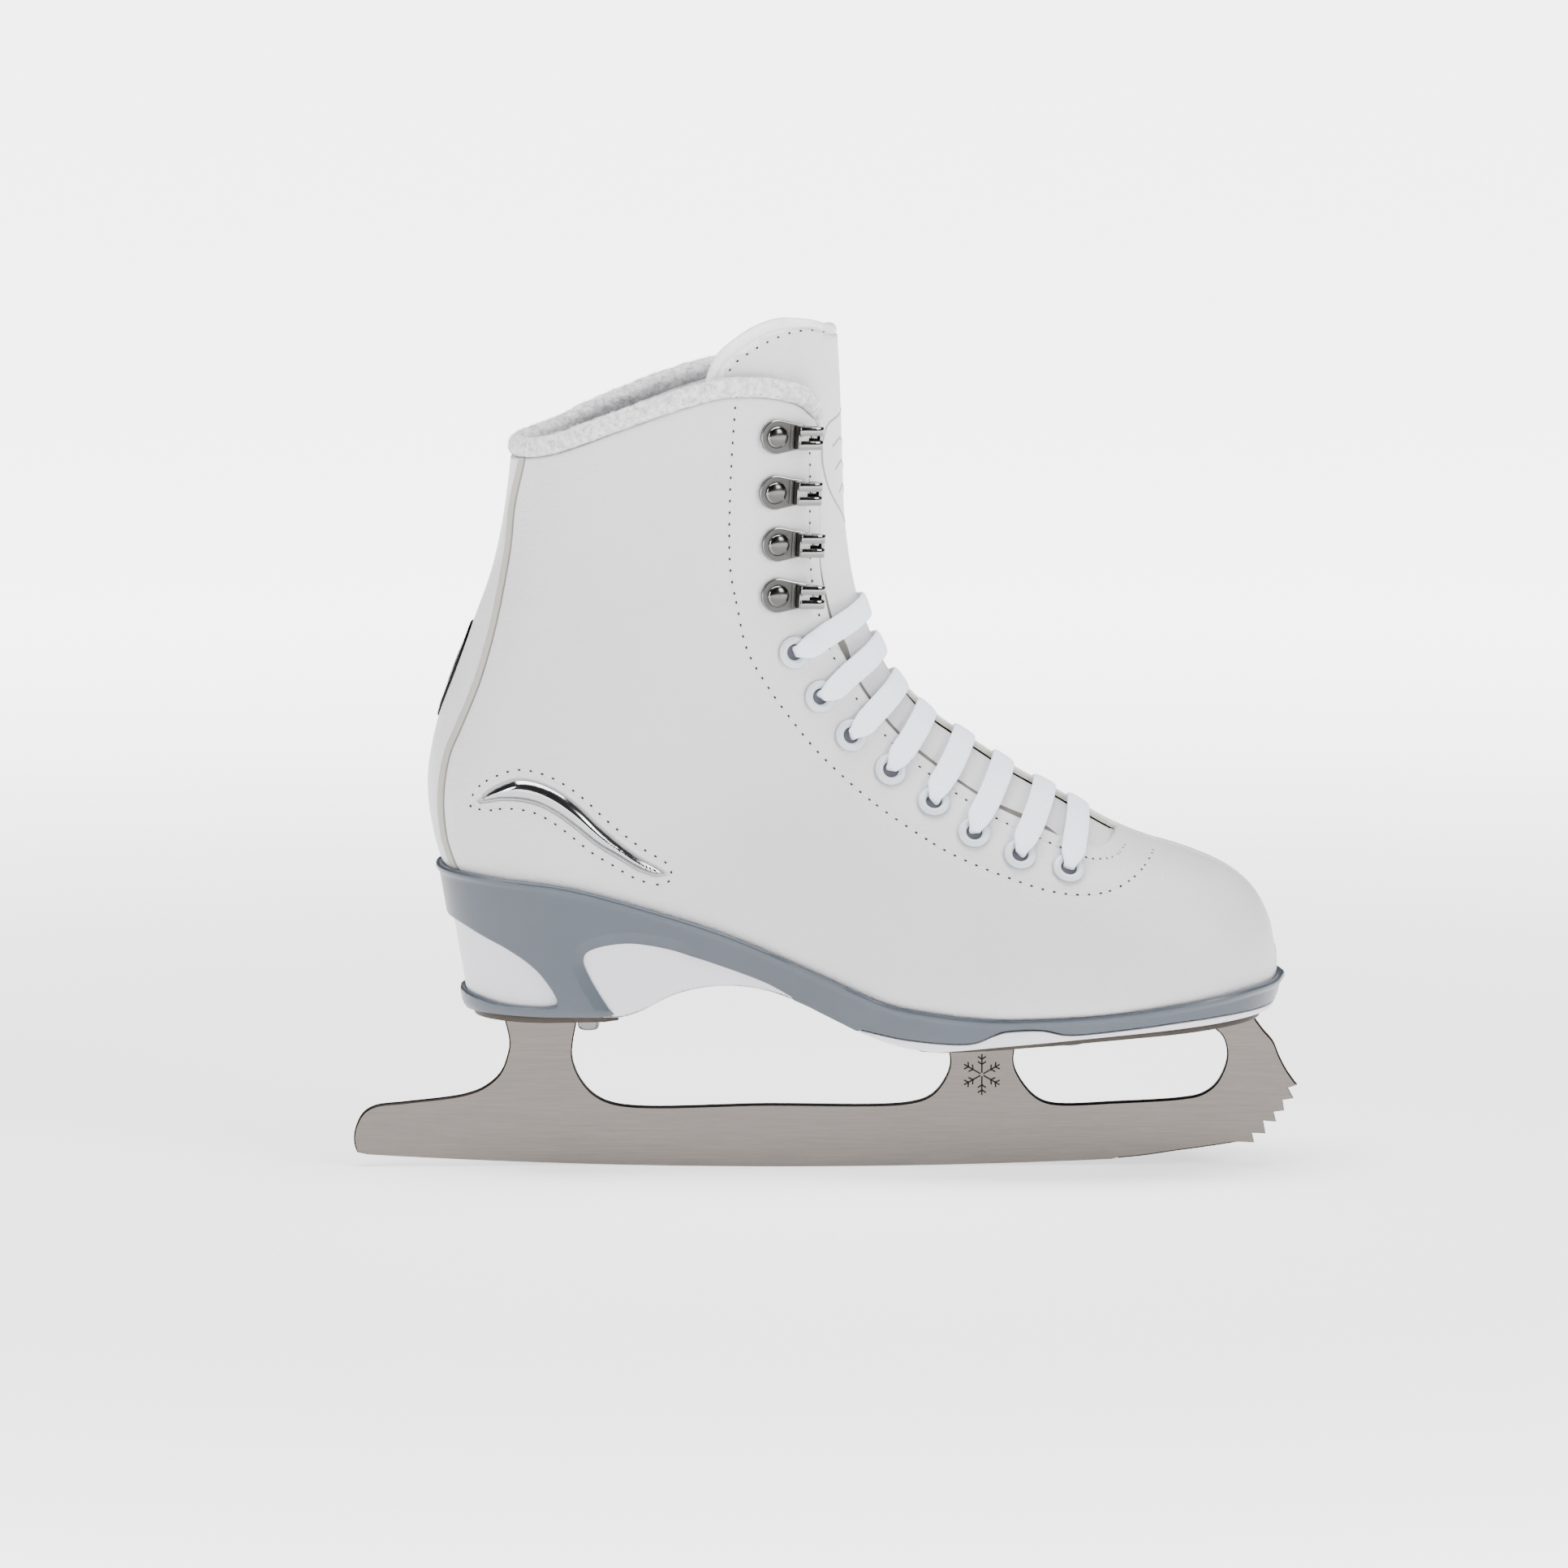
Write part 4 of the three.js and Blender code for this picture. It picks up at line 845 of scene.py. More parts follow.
# ---- stitching
def capsule(half, radius, rise, rings=7, sides=6):
    """A thread lying along the first axis that dips into the leather at both ends."""
    loops = []
    for s in np.linspace(-1, 1, rings):
        r = radius * max(0.25, math.sqrt(1 - s * s * 0.94))
        loops.append([
            [s * half, r * math.cos(a), rise * (1 - s * s) - radius * 0.9 + r * math.sin(a)]
            for a in full_turn(sides)
        ])
    return loft(loops)


THREAD_RUN = capsule(1.45, 0.24, 0.2)
# Small dark discs at the needle holes, a painted shade.
NEEDLE_HOLE = lathe([[0, 0.02], [0.34, 0.03], [0.42, 0.06], [0.3, 0.1], [0, 0.05]][::-1], 10)
NEEDLE_HOLE[0][:, :2] *= (1.15, 0.8)
STITCH_PITCH = 3.5


def frames_along(places, normals, shift=0.0):
    """Frames halfway between neighbouring places: origin, run, across, out."""
    frames = []
    for a, b, n, m in zip(places[:-1], places[1:], normals[:-1], normals[1:]):
        out = unit(n + m)
        run = across_from(b - a, out)
        frames.append([(a + b) / 2 + out * shift, run, np.cross(out, run), out])
    return frames


def stitch_row(hits, sink=0.12):
    """Thread runs between the hits and a needle hole at each."""
    hits = [h for h in hits if h is not None]
    places = np.array([h[0] for h in hits])
    normals = np.array([h[1] for h in hits])
    runs = frames_along(places, normals, -sink)
    holes = []
    for i, (at, out) in enumerate(zip(places, normals)):
        run = across_from(unit(step_at(places, i)), out)
        holes.append([at - out * sink, run, np.cross(out, run), out])
    return runs, holes


def evenly(hits, pitch):
    """Places at even distances along a row of hits, each with the hit nearest to it."""
    hits = [h for h in hits if h is not None]
    places = np.array([h[0] for h in hits])
    return [
        (p, hits[int(np.argmin(np.linalg.norm(places - p, axis=1)))]) for p in resample(places, pitch)
    ]


def side_hits(line, side, pitch=STITCH_PITCH):
    dense = [on_side(x, z, side) for x, z in resample(line, 0.7)]
    return [near for _, near in evenly(dense, pitch)]


def toe_hits(side):
    """The row beside the ridge of the toe, in front of the throat."""
    dense = [on_top(x, centre_line(x) + side * 2.6) for x in np.linspace(90, 133, 60)]
    return [(p, near[1]) for p, near in evenly(dense, 2.6)]


def sew(name, rows):
    runs, holes = [], []
    for hits in rows:
        r, h = stitch_row(hits)
        runs += r
        holes += h
    threads, dots = copies(THREAD_RUN, runs), copies(NEEDLE_HOLE, holes)
    which = np.concatenate([np.zeros(len(threads[1]), int), np.ones(len(dots[1]), int)])
    piece(name, merged([threads, dots]), [THREAD, HOLE_SHADE], which, slot="leather_white", angle=80)


for label, side in SIDES.items():
    sew("stitching_" + label, [
        side_hits(EYESTAY_LINE, side),
        side_hits(THROAT_ROW, side),
        side_hits(THROAT_END, side, 2.4),
        side_hits(SWOOSH_ROW, side),
        side_hits(BACK_ROW, side),
        toe_hits(side),
    ])


# ---- swooshes and the back accent
def side_sheet(x_range, z_range, step, side):
    """A sheet of fine squares on one side of the skin."""
    xs = np.arange(x_range[0], x_range[1] + step, step)
    zs = np.arange(z_range[0], z_range[1] + step, step)
    hits = [on_side(x, z, side) for x in xs for z in zs]
    v = np.array([np.concatenate(h) for h in hits])
    return v, facing(v[:, :3], grid_faces(len(xs), len(zs), wrap=False), v[:, 3:6])[0]


for label, side in SIDES.items():
    sheet = side_sheet((-106, -46), (90, 123), 0.55, side)
    sheet = trimmed(sheet, lambda v: -field(flat(v), SWOOSH), (0, 0.12, 0.4, 0.9, 1.5))
    d = -field(flat(sheet[0]), SWOOSH)
    dome = 0.35 - 1.5 * (1 - np.clip(1 - d / 2.4, 0, 1) ** 1.8)
    solid, _ = shell(sheet, SWOOSH_DEPTH + 0.1, dome)
    dress("swoosh_" + label, solid, CHROME, "accent_chrome", angle=60)

ACCENT_Z, ACCENT_HALF_HEIGHT, ACCENT_HALF_WIDTH = 151, 14.5, 4.5
ACCENT_SIDES = 72
ACCENT_RINGS = [  # share of the size, height over the leather
    (1, 0.0), (1, 0.35), (0.95, 0.65), (0.86, 0.75), (0.8, 0.65), (0.72, 0.6), (0.5, 0.8), (0.2, 0.95),
]


def on_back(y, z):
    return smooth_hit((-200, y, z), (1, 0, 0))


rings = []
for share, proud in ACCENT_RINGS:
    ring = []
    for a in full_turn(ACCENT_SIDES):
        at, out = on_back(
            ACCENT_HALF_WIDTH * share * math.cos(a), ACCENT_Z + ACCENT_HALF_HEIGHT * share * math.sin(a))
        ring.append(at + out * proud)
    rings.append(ring)
accent = loft(rings)
chrome_ring = accent[1].min(1) // ACCENT_SIDES == 2
dress("back_accent", accent, [BLACK, CHROME], "accent_black", chrome_ring.astype(int), angle=50)


# ---- lining, footbed, collar roll
def wobble(points, size, offset=0.0):
    return np.array([
        blender_noise.noise(Vector((x / size + offset, y / size, z / size))) for x, y, z in points
    ])


LINING_FROM, LINING_TO = 2.1, 5.6
LINING_OPENING = np.vstack([COLLAR, sideways(THROAT, -6)[6:-6], ABOVE])
BOARD_TOP = np.array([
    [-125, 85], [-80, 84.4], [-50, 78.5], [-18, 68], [10, 56], [34, 50.8], [56, 50.2], [77, 51.2],
    [96, 52.8], [112, 54.4], [140, 57],
])
inner_skin = trimmed(SKIN, lambda v: field(flat(v), LINING_OPENING), (0, 0.6, 1.6))
inner_skin = trimmed(inner_skin, lambda v: v[:, 2] - height(BOARD_TOP, v[:, 0]) - 0.3)


def lining(name, sheet):
    v = sheet[0]
    edge = field(flat(v), LINING_OPENING)
    soft = 0.35 * wobble(v[:, :3], 4.0) + 0.2 * wobble(v[:, :3], 1.6, 9)
    inner = LINING_TO + soft - rounded(edge, 1.6) * 1.2
    solid, _ = shell(sheet, inner, LINING_FROM)
    dress(name, solid, PLUSH_INNER, "plush_white", angle=80)


VAMP_LINE, LINING_GAP = 37, 0.4
lining("lining_shaft", trimmed(
    inner_skin, lambda v: VAMP_LINE - LINING_GAP / 2 - v[:, 0] + (v[:, 2] - 90) * 0.1))
lining("lining_vamp", trimmed(
    inner_skin, lambda v: v[:, 0] - VAMP_LINE - LINING_GAP / 2 - (v[:, 2] - 90) * 0.1))

BALL, HEEL = (100, 2), (-84, 0)  # in plan, the middles of the sole's rounded ends
FOOTBED_RINGS = [  # in from the skin, up from the board
    (7.4, 4.3), (6.6, 4.6), (6.3, 6.4), (6.8, 7.3), (9, 7.7), (16, 7.6), (26, 7.4),
]


def footbed_rings():
    """Plan outlines of the footbed from its underside to its crowned top, a little inside the lining."""
    stations = [(BALL, a) for a in np.linspace(-90, 90, 40)]
    stations += [((x, 0), 90) for x in np.linspace(92, -76, 50)]
    stations += [(HEEL, a) for a in np.linspace(90, 270, 40)]
    stations += [((x, 0), 270) for x in np.linspace(-76, 92, 50)]
    walls = [around(centre, math.radians(angle), BOARD_TOP, 6.0) for centre, angle in stations]
    rings = []
    for inset, rise in FOOTBED_RINGS:
        ring = []
        for at, out in walls:
            spot = at - out * min(inset, abs(at[1]) + 6)
            spot[2] = height(BOARD_TOP, spot[0]) + rise
            ring.append(spot)
        rings.append(ring)
    return rings


dress("footbed", loft(footbed_rings()), FOOTBED, "foam_grey", angle=60)

ROLL_RADIUS, ROLL_DEPTH = 3.1, 2.2
ROLL_LINE = resample(np.vstack([COLLAR, THROAT[1:2]]), 1.0)
ROLL_LINE = ROLL_LINE + (sideways(ROLL_LINE, 2.9) - ROLL_LINE) * smooth(-0.5, -8, ROLL_LINE[:, 0])[:, None]


def roll_route():
    """Along the collar from the outer side's throat round the back to the inner side's."""
    line = resample(ROLL_LINE, 1.2)[::-1]
    sides = {}
    for side in (-1, 1):
        hits = [on_side(x, z, side) for x, z in line if x > -76]
        sides[side] = [(p, np.array([0.0, side, 0.0])) for p, _ in hits]
    back = [around((-62, 0), a, ROLL_LINE) for a in np.radians(np.arange(246, 113, -2.0))]
    whole = sides[-1] + back + sides[1][::-1]
    at = np.array([p for p, _ in whole])
    out = np.array([o for _, o in whole])
    for _ in range(6):
        out[1:-1] = unit(out[:-2] + out[1:-1] + out[2:])
    return at - out * ROLL_DEPTH, out


def smoothed(points, passes=3):
    points = points.copy()
    for _ in range(passes):
        points[1:-1] = (points[:-2] + 2 * points[1:-1] + points[2:]) / 4
    return points


roll_at, roll_out = roll_route()
roll_at = resample(np.hstack([smoothed(roll_at, 6), roll_out]), 1.2)
roll_at, roll_out = roll_at[:, :3], unit(roll_at[:, 3:])
rings = []
count = len(roll_at)
SECTION = full_turn(36)
for i in range(count):
    run = unit(step_at(roll_at, i))
    out = across_from(roll_out[i], run)
    up = np.cross(run, out)
    up *= np.sign(up[2]) or 1
    end = min(1, min(i, count - 1 - i) / 9)
    r = ROLL_RADIUS * (0.3 + 0.7 * math.sin(end * math.pi / 2))
    rings.append([roll_at[i] + r * (out * math.cos(a) + up * math.sin(a)) for a in SECTION])
points, faces = loft(rings)
fluff = vertex_normals(points, faces)
points = points + fluff * (0.28 * wobble(points, 2.6) + 0.16 * wobble(points, 1.1, 5))[:, None]
dress("collar_roll", (points, faces), PLUSH, "plush_white", angle=80)


def fuzz(name, points, faces, count, length, look):
    """Short curved fibres standing on a surface."""
    a, b, c = (points[faces[:, k]] for k in range(3))
    area = np.linalg.norm(np.cross(b - a, c - a), axis=1)
    chosen = rng.choice(len(faces), count, p=area / area.sum())
    u, w = rng.random(count), rng.random(count)
    flip = u + w > 1
    u[flip], w[flip] = 1 - u[flip], 1 - w[flip]
    at = a[chosen] + (b - a)[chosen] * u[:, None] + (c - a)[chosen] * w[:, None]
    out = unit(np.cross(b - a, c - a)[chosen])
    lean = unit(out + 0.9 * rng.normal(size=(count, 3)))
    side = unit(np.cross(lean, rng.normal(size=(count, 3)))) * 0.05
    bend = rng.normal(size=(count, 3)) * 0.25 * length
    tall = (length * rng.uniform(0.5, 1.2, count))[:, None]
    rows = [at - side - out * 0.2, at + side - out * 0.2, at + lean * tall * 0.6 + side * 0.8,
            at + lean * tall * 0.6 - side * 0.8, at + lean * tall + bend]
    verts = np.stack(rows, 1).reshape(-1, 3)
    base = np.arange(count)[:, None] * 5
    tris = np.concatenate([base + [0, 1, 2], base + [0, 2, 3], base + [3, 2, 4]])
    piece(name, (verts, tris), look, slot="plush_white", angle=80)


fuzz("collar_fleece", points, faces, 16000, 0.75, PLUSH)


# ---- tongue
TONGUE_TOP = curve([
    [-31.5, 216], [-34, 229], [-34.5, 236], [-34.3, 241], [-30.4, 248], [-23.5, 252.9], [-16.8, 256.2],
    [-10.1, 258.1], [-4.5, 258.4], [-0.5, 257.8], [3, 256.3], [6, 255], [20, 251],
])
TONGUE_LOOP = np.vstack([
    TONGUE_TOP, [[60, 200], [100, 130], [96, 92]],
    sideways(resample(THROAT, 3.0), -4.5)[::-1][2:-20],
    [[-14, 179], [-25, 196]],
])
TONGUE_BORDER = np.vstack([[[-14, 179], [-25, 196]], TONGUE_TOP])
TONGUE_THICKNESS, TONGUE_FACE, TONGUE_WING = 5.0, 2.4, 7.2
BINDING_WIDTH = 2.9
# How wide the painted shade strip beside the facing reaches on the tongue.
GAP_SHADE_REACH = 1.7
TONGUE_LEAN = 8.5  # how far the inner wing stands below the outer one
TONGUE_LOOKS = [TONGUE_LEATHER, BINDING, PLUSH_INNER, THREAD, HOLE_SHADE, GREY_THREAD, PAINTED_GAP_SHADE]


def leaned(v):
    """The side view of the tongue as if it stood straight."""
    lean = TONGUE_LEAN * smooth(2, 26, v[:, 1]) * smooth(200, 235, v[:, 2])
    return np.column_stack([v[:, 0], v[:, 2] + lean])


tongue = trimmed(SKIN, lambda v: -field(leaned(v), TONGUE_LOOP), (0, 0.15, 0.6, 1.3, 2.2))
for level in (BINDING_WIDTH - 0.25, BINDING_WIDTH, BINDING_WIDTH + 0.5):
    tongue = cut(tongue, to_line(leaned(tongue[0]), TONGUE_BORDER) - level, keep=False)


def gap_shade_field(v):
    """Negative on the outer side's strip of the tongue that is painted dark as the shadow beside the facing's
    edge.
    """
    upper = bell(v[:, 2], 161, 5) * (v[:, 0] < 20)
    lower = bell(v[:, 0], 61, 9)
    wide = (GAP_SHADE_REACH + 0.15) * (1 - smooth(66, 75, v[:, 0])) + 1.5 * upper + 0.7 * lower
    return np.where(v[:, 1] < 0, to_line(flat(v), THROAT) - wide, 9)


tongue = cut(tongue, gap_shade_field(tongue[0]), keep=False)
v = tongue[0]
inwards = TONGUE_FACE + (TONGUE_WING - TONGUE_FACE) * (1 - smooth(-7, 2, v[:, 0]))
from_edge = -field(leaned(v), TONGUE_LOOP)
bulge = np.sqrt(1 - np.clip(1 - from_edge / 2.4, 0, 1) ** 2)
half = TONGUE_THICKNESS / 2 * (0.12 + 0.88 * bulge)
border_at = to_line(leaned(v), TONGUE_BORDER)
valley = 0.7 * bell(border_at, BINDING_WIDTH, 0.4) + 0.25 * bell(border_at, 5.4, 0.8)
middle = inwards + TONGUE_THICKNESS / 2
solid, marks = shell(tongue, middle + half, middle - half + valley)
points, faces = solid
centre = points[faces].mean(1)
bound = to_line(leaned(centre), TONGUE_BORDER) < BINDING_WIDTH
which = np.where(bound, TONGUE_LOOKS.index(BINDING), np.where(marks == 1, TONGUE_LOOKS.index(PLUSH_INNER), 0))
# The strip beside the facing's edge takes the painted shade.
shadowed = gap_shade_field(v)[faces % len(v)].mean(1) < 0
which[shadowed & (marks == 0)] = TONGUE_LOOKS.index(PAINTED_GAP_SHADE)
tongue_parts = [(points, faces, which)]
tongue_tree = BVHTree.FromPolygons([Vector(p) for p in points], faces.tolist())


def on_tongue(start, towards):
    at, normal, _, _ = tongue_tree.ray_cast(Vector(start), Vector(towards))
    return at and (np.array(at), np.array(normal if normal.dot(Vector(towards)) < 0 else -normal))


TONGUE_ROW = resample(sideways(resample(TONGUE_TOP, 1.0), -(BINDING_WIDTH + 1.1)), 3.4)
TONGUE_ROW = TONGUE_ROW[(TONGUE_ROW[:, 1] > 228) & (TONGUE_ROW[:, 0] < 1)]
for side in SIDES.values():
    lean = TONGUE_LEAN * smooth(-6, -22, TONGUE_ROW[:, 0]) * (side > 0)
    hits = [on_tongue((x, side * 200, z - low), (0, -side, 0)) for (x, z), low in zip(TONGUE_ROW, lean)]
    runs, holes = stitch_row([h for h in hits if h], 0.0)
    for template, frames, look in ((THREAD_RUN, runs, THREAD), (NEEDLE_HOLE, holes, HOLE_SHADE)):
        p, f = copies(template, frames)
        tongue_parts.append((p, f, np.full(len(f), TONGUE_LOOKS.index(look))))


def emblem_lines():
    """A plain shield with three bars, as (across, height) lines on the front of the tongue."""
    shield = curve([
        [0, 229], [-6, 227.5], [-10, 225], [-11, 216], [-9.5, 207], [-5.5, 200], [0, 195], [5.5, 200],
        [9.5, 207], [11, 216], [10, 225], [6, 227.5], [0, 229],
    ])
    bars = [
        curve([[-w, z], [-w / 2, z + 2], [0, z], [w / 2, z - 2], [w, z]])
        for w, z in ((8, 219), (7, 212), (5, 205))
    ]
    return [shield] + bars


EMBLEM_SPREAD = 1.6
for line in emblem_lines():
    spots = [on_tongue((90, EMBLEM_SPREAD * y, z), (-1, 0, 0)) for y, z in resample(line, 0.8)]
    places = [p for p, _ in spots]
    rings = []
    for i, (p, n) in enumerate(spots):
        across = np.cross(n, unit(step_at(places, i)))
        rings.append([p + 0.38 * (across * math.cos(a) + n * 0.45 * math.sin(a)) for a in SECTION[::4]])
    p, f = loft(rings)
    tongue_parts.append((p, f, np.full(len(f), TONGUE_LOOKS.index(GREY_THREAD))))

solid = merged([(p, f) for p, f, _ in tongue_parts])
which = np.concatenate([w for _, _, w in tongue_parts])
tongue_piece = piece("tongue_look", solid, TONGUE_LOOKS, which, body=None,
                     nodes=["tongue_upper", "tongue_lower"], slot="leather_white", angle=60)
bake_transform(tongue_piece)


# ---- eyelets and hooks
def on_leather(x, z, side, forward=(1, 0, 0)):
    """A frame on the skin: third axis out, first axis forwards along it."""
    at, out = on_side(x, z, side)
    u = across_from(np.array(forward, float), out)
    return [at, u, np.cross(out, u), out]


EYELET_PROFILE = [  # from the floor at the leather, painted dark as the shade in the bore, over the flange, to the back
    [0.05, 0.1], [2.3, 0.15], [2.4, 0.5], [2.7, 1.15], [3.2, 1.5], [3.7, 1.52], [4.3, 1.35], [4.75, 1.05],
    [5, 0.6], [4.98, 0.1], [4.6, -0.1], [2.9, -0.1], [2.9, -2.9], [4.2, -2.9], [4.2, -3.3], [0.05, -3.3],
]


def tube_lathe(profile, segments):
    """A ring turned from a closed profile that doesn't touch its axis."""
    loops = []
    for a in full_turn(segments):
        loops.append([[r * math.cos(a), r * math.sin(a), h] for r, h in profile])
    loops = np.array(loops)
    rows, columns = loops.shape[:2]
    closed = np.vstack([loops, loops[:1]])
    faces = grid_faces(rows + 1, columns) % (rows * columns)
    points = closed[:-1].reshape(-1, 3)
    return points, outward(points, faces)


EYELET = tube_lathe(EYELET_PROFILE, 48)
eyelet_face = EYELET[0][EYELET[1]].mean(1)
eyelet_reach = np.hypot(eyelet_face[:, 0], eyelet_face[:, 1])
# Painted shade in the bore and on its floor.
bore_shade = (eyelet_reach < 2.38) & (eyelet_face[:, 2] < 0.4)
# The flange's outer edge takes the painted shadow ring.
EYELET_LOOKS = np.where(bore_shade, 1, np.where(eyelet_reach > 4.9, 2, 0))

HOOK_TOP = [
    [5.8, 3.9], [6.2, 4.9], [7.2, 5.35], [9, 5.7], [11, 5.95], [12.4, 5.9], [13.4, 5.4], [13.9, 4.6],
    [13.9, 3.6], [13.3, 2.9], [12.4, 2.8], [11.8, 3.3], [11.6, 4.1], [10.6, 4.4], [8.6, 4.2], [6.8, 3.7],
    [6.1, 3.3],
]


def slab(outline, low, high, bevel):
    """A plate with rounded edges from an outline in the first two axes."""
    outline = np.asarray(outline, float)
    rings = []
    for inset, level in ((bevel, low), (bevel * 0.3, low + bevel * 0.3), (0, low + bevel), (0, high - bevel),
                         (bevel * 0.3, high - bevel * 0.3), (bevel, high)):
        ring = grown(outline, -inset)
        rings.append(np.column_stack([ring, np.full(len(ring), level)]))
    return loft(rings)


def prong(profile, low, high, bevel=0.45):
    """The profile, in the first and third axes, made solid across the second."""
    points, faces = slab(profile, low, high, bevel)
    points = points[:, [0, 2, 1]]
    return points, outward(points, faces)


def arc_points(centre, radius, start, end, steps):
    a = np.radians(np.linspace(start, end, steps))
    return np.stack([centre[0] + radius[0] * np.cos(a), centre[1] + radius[1] * np.sin(a)], 1)


def make_hook():
    """A hook with its rivet, pointing along the first axis, and the look of each face."""
    foot = np.vstack([
        arc_points((0, 0), (5.2, 5.2), 80, 280, 40),
        [[5.2, -4.25], [8.8, -3.7], [9.6, -3.2], [9.6, 3.2], [8.8, 3.7], [5.2, 4.25]],
    ])
    plate = slab(resample_loop(foot, 0.5), 0.35, 1.45, 0.3)
    base = slab([[6.0, -3.5], [12.2, -3.3], [12.2, 3.3], [6.0, 3.5]], 0.9, 1.7, 0.35)
    groove = slab([[4.3, -3.75], [5.5, -3.65], [5.5, 3.65], [4.3, 3.75]], 1.3, 1.8, 0.25)
    rise = prong([
        [5.6, 1.4], [5.8, 4.2], [6.6, 4.9], [7.8, 5.1], [8.7, 5.0], [8.7, 3.9], [7.4, 3.5], [7.1, 1.4],
    ], -3.6, 3.6)
    profile = resample_loop(HOOK_TOP, 0.35)
    prongs = [prong(profile, 0.75, 3.45), prong(profile, -3.45, -0.75)]
    front = prong([
        [11.4, 1.2], [12.9, 1.3], [13.8, 2.2], [13.9, 3.8], [13, 3.9], [12.7, 2.6], [11.8, 2.0], [11.2, 2.0],
    ], -3.3, 3.3, 0.3)
    rivet = lathe([
        [0, -3.4], [3.2, -3.4], [3.2, -2.7], [1.7, -2.7], [1.7, 1.2], [3.35, 1.35], [3.45, 1.6], [3.35, 1.95],
        [3.15, 2.25], [2.8, 2.55], [2.35, 2.75], [1.8, 2.92], [1.2, 3.02], [0.6, 3.08], [0, 3.1],
    ], 44)
    rivet_face = rivet[0][rivet[1]].mean(1)
    rim_of_rivet = np.hypot(rivet_face[:, 0], rivet_face[:, 1]) > 3.0
    sanded = [plate, groove]
    shiny = [base, rise, front] + prongs
    level = plate[0][plate[1]].mean(1)[:, 2]
    rim = (level > 1.16) & (level < 1.44)
    which = [np.where(rim, 0, 1), np.full(len(groove[1]), 1)]
    # The rivet's dome inside its rim takes the darker copy of the nickel, a painted reflection.
    which += [np.zeros(len(f), int) for _, f in shiny] + [np.where(rim_of_rivet, 0, 2)]
    return merged(sanded + shiny + [rivet]), np.concatenate(which)


HOOK, HOOK_LOOKS = make_hook()
for label, side in SIDES.items():
    for i, (x, z) in enumerate(EYELETS, 1):
        dress(f"eyelet_{label}_{i}", copies(EYELET, [on_leather(x, z, side)]),
              [ENAMEL, EYELET_BORE_SHADE, EYELET_EDGE_SHADE], "eyelet_enamel", EYELET_LOOKS, angle=50)
    for i, (x, z) in enumerate(HOOKS, 1):
        dress(f"hook_{label}_{i}", copies(HOOK, [on_leather(x, z, side, (1, 0, -0.05))]),
              [NICKEL, SANDED, DOME_PAINTED_REFLECTION], "hook_nickel", HOOK_LOOKS, angle=40)


# ---- lace
FLAT_LACE = (3.75, 0.7)
BUNCHED = (1.85, 0.95)
FOLDED = (2.9, 1.2)
RIDGE_DEPTH = 0.4
TAIL = [(1, -7.6), (0.66, -7.6), (0.36, -7.4), (0.18, -6.8), (0.06, -5)]  # share of the reach, depth
FIRST_TAIL, LAST_TAIL = 36, 24
RIDGE_STEPS = 1200
ridge_points = skin_points(np.linspace(0, len(RINGS) - 1, RIDGE_STEPS), np.zeros(RIDGE_STEPS))


def ridge_near(x, z):
    i = int(np.argmin(np.hypot(ridge_points[:, 0] - x, ridge_points[:, 2] - z)))
    run = unit(step_at(ridge_points, i))
    out = unit(np.array([-run[2], 0, run[0]]) * np.sign(run[0] or 1))
    if out[0] < 0 and out[2] < 0:
        out = -out
    depth = RIDGE_DEPTH - 1.2 * float(smooth(20, 40, x))
    return ridge_points[i] - out * depth, out


crossings = []
for (x, z), (tx, tz) in zip(EYELETS, LACE_TOPS):
    top, out = ridge_near(tx, tz)
    ends = {}
    for side in (-1, 1):
        at, normal = on_side(x, z, side)
        ends[side] = (at, normal, across_from(top - at, normal))
    crossings.append(((x, z), top, out, ends))


def half_bar(crossing, side):
    (x, z), top, _, ends = crossing
    at, normal, inwards = ends[side]
    lean = unit(normal - inwards)
    run = [
        (at + inwards * 1.6 + normal * 2.1, lean, (2.3, 0.95)),
        (at + inwards * 3.3 + normal * 2.6, normal, (3.15, 0.85)),
        (at + inwards * 5.8 + normal * 2.3, normal, (3.65, 0.75)),
    ]
    for share, lift in ((0.42, 1.9), (0.62, 1.5), (0.82, 0.8)):
        p, n = on_side(x + (top[0] - x) * share, z + (top[2] - z) * share, side)
        run.append((p + n * lift, n, FLAT_LACE))
    return run


def dive(ends, side, towards):
    at, normal, inwards = ends[side]
    return [
        (at + normal * n + inwards * shift, unit(-inwards * (2 - i) + towards * i), BUNCHED)
        for i, (n, shift) in enumerate(((1.3, 0.85), (-0.8, 0.7), (-3.9, 0.3)))
    ]


def tail(crossing, side, reach):
    (x, z), _, _, ends = crossing
    inwards = ends[side][2]
    run = []
    for share, depth in TAIL:
        p, n = on_side(x - inwards[0] * share * reach, z - inwards[2] * share * reach, side)
        run.append((p + n * depth, n, (3.4, 0.8) if depth < -6 else FOLDED))
    return run


route = tail(crossings[0], -1, FIRST_TAIL) + dive(crossings[0][3], -1, -crossings[0][3][-1][2])[::-1]
for i, crossing in enumerate(crossings):
    start = 1 if i % 2 else -1
    ends = crossing[3]
    route += half_bar(crossing, start) + [(crossing[1], crossing[2], FLAT_LACE)]
    route += half_bar(crossing, -start)[::-1]
    if i + 1 == len(crossings):
        route += dive(ends, -start, -ends[-start][2]) + tail(crossing, -start, LAST_TAIL)[::-1]
        break
    here, there = ends[-start], crossings[i + 1][3][-start]
    towards = unit(there[0] - here[0])
    route += dive(ends, -start, towards)
    for share in (0.18, 0.5, 0.82):
        normal = unit(here[1] * (1 - share) + there[1] * share)
        at = here[0] * (1 - share) + there[0] * share + normal * (-6 if share == 0.5 else -5.7)
        route.append((at, normal, (3, 0.8)))
    route += dive(crossings[i + 1][3], -start, -towards)[::-1]

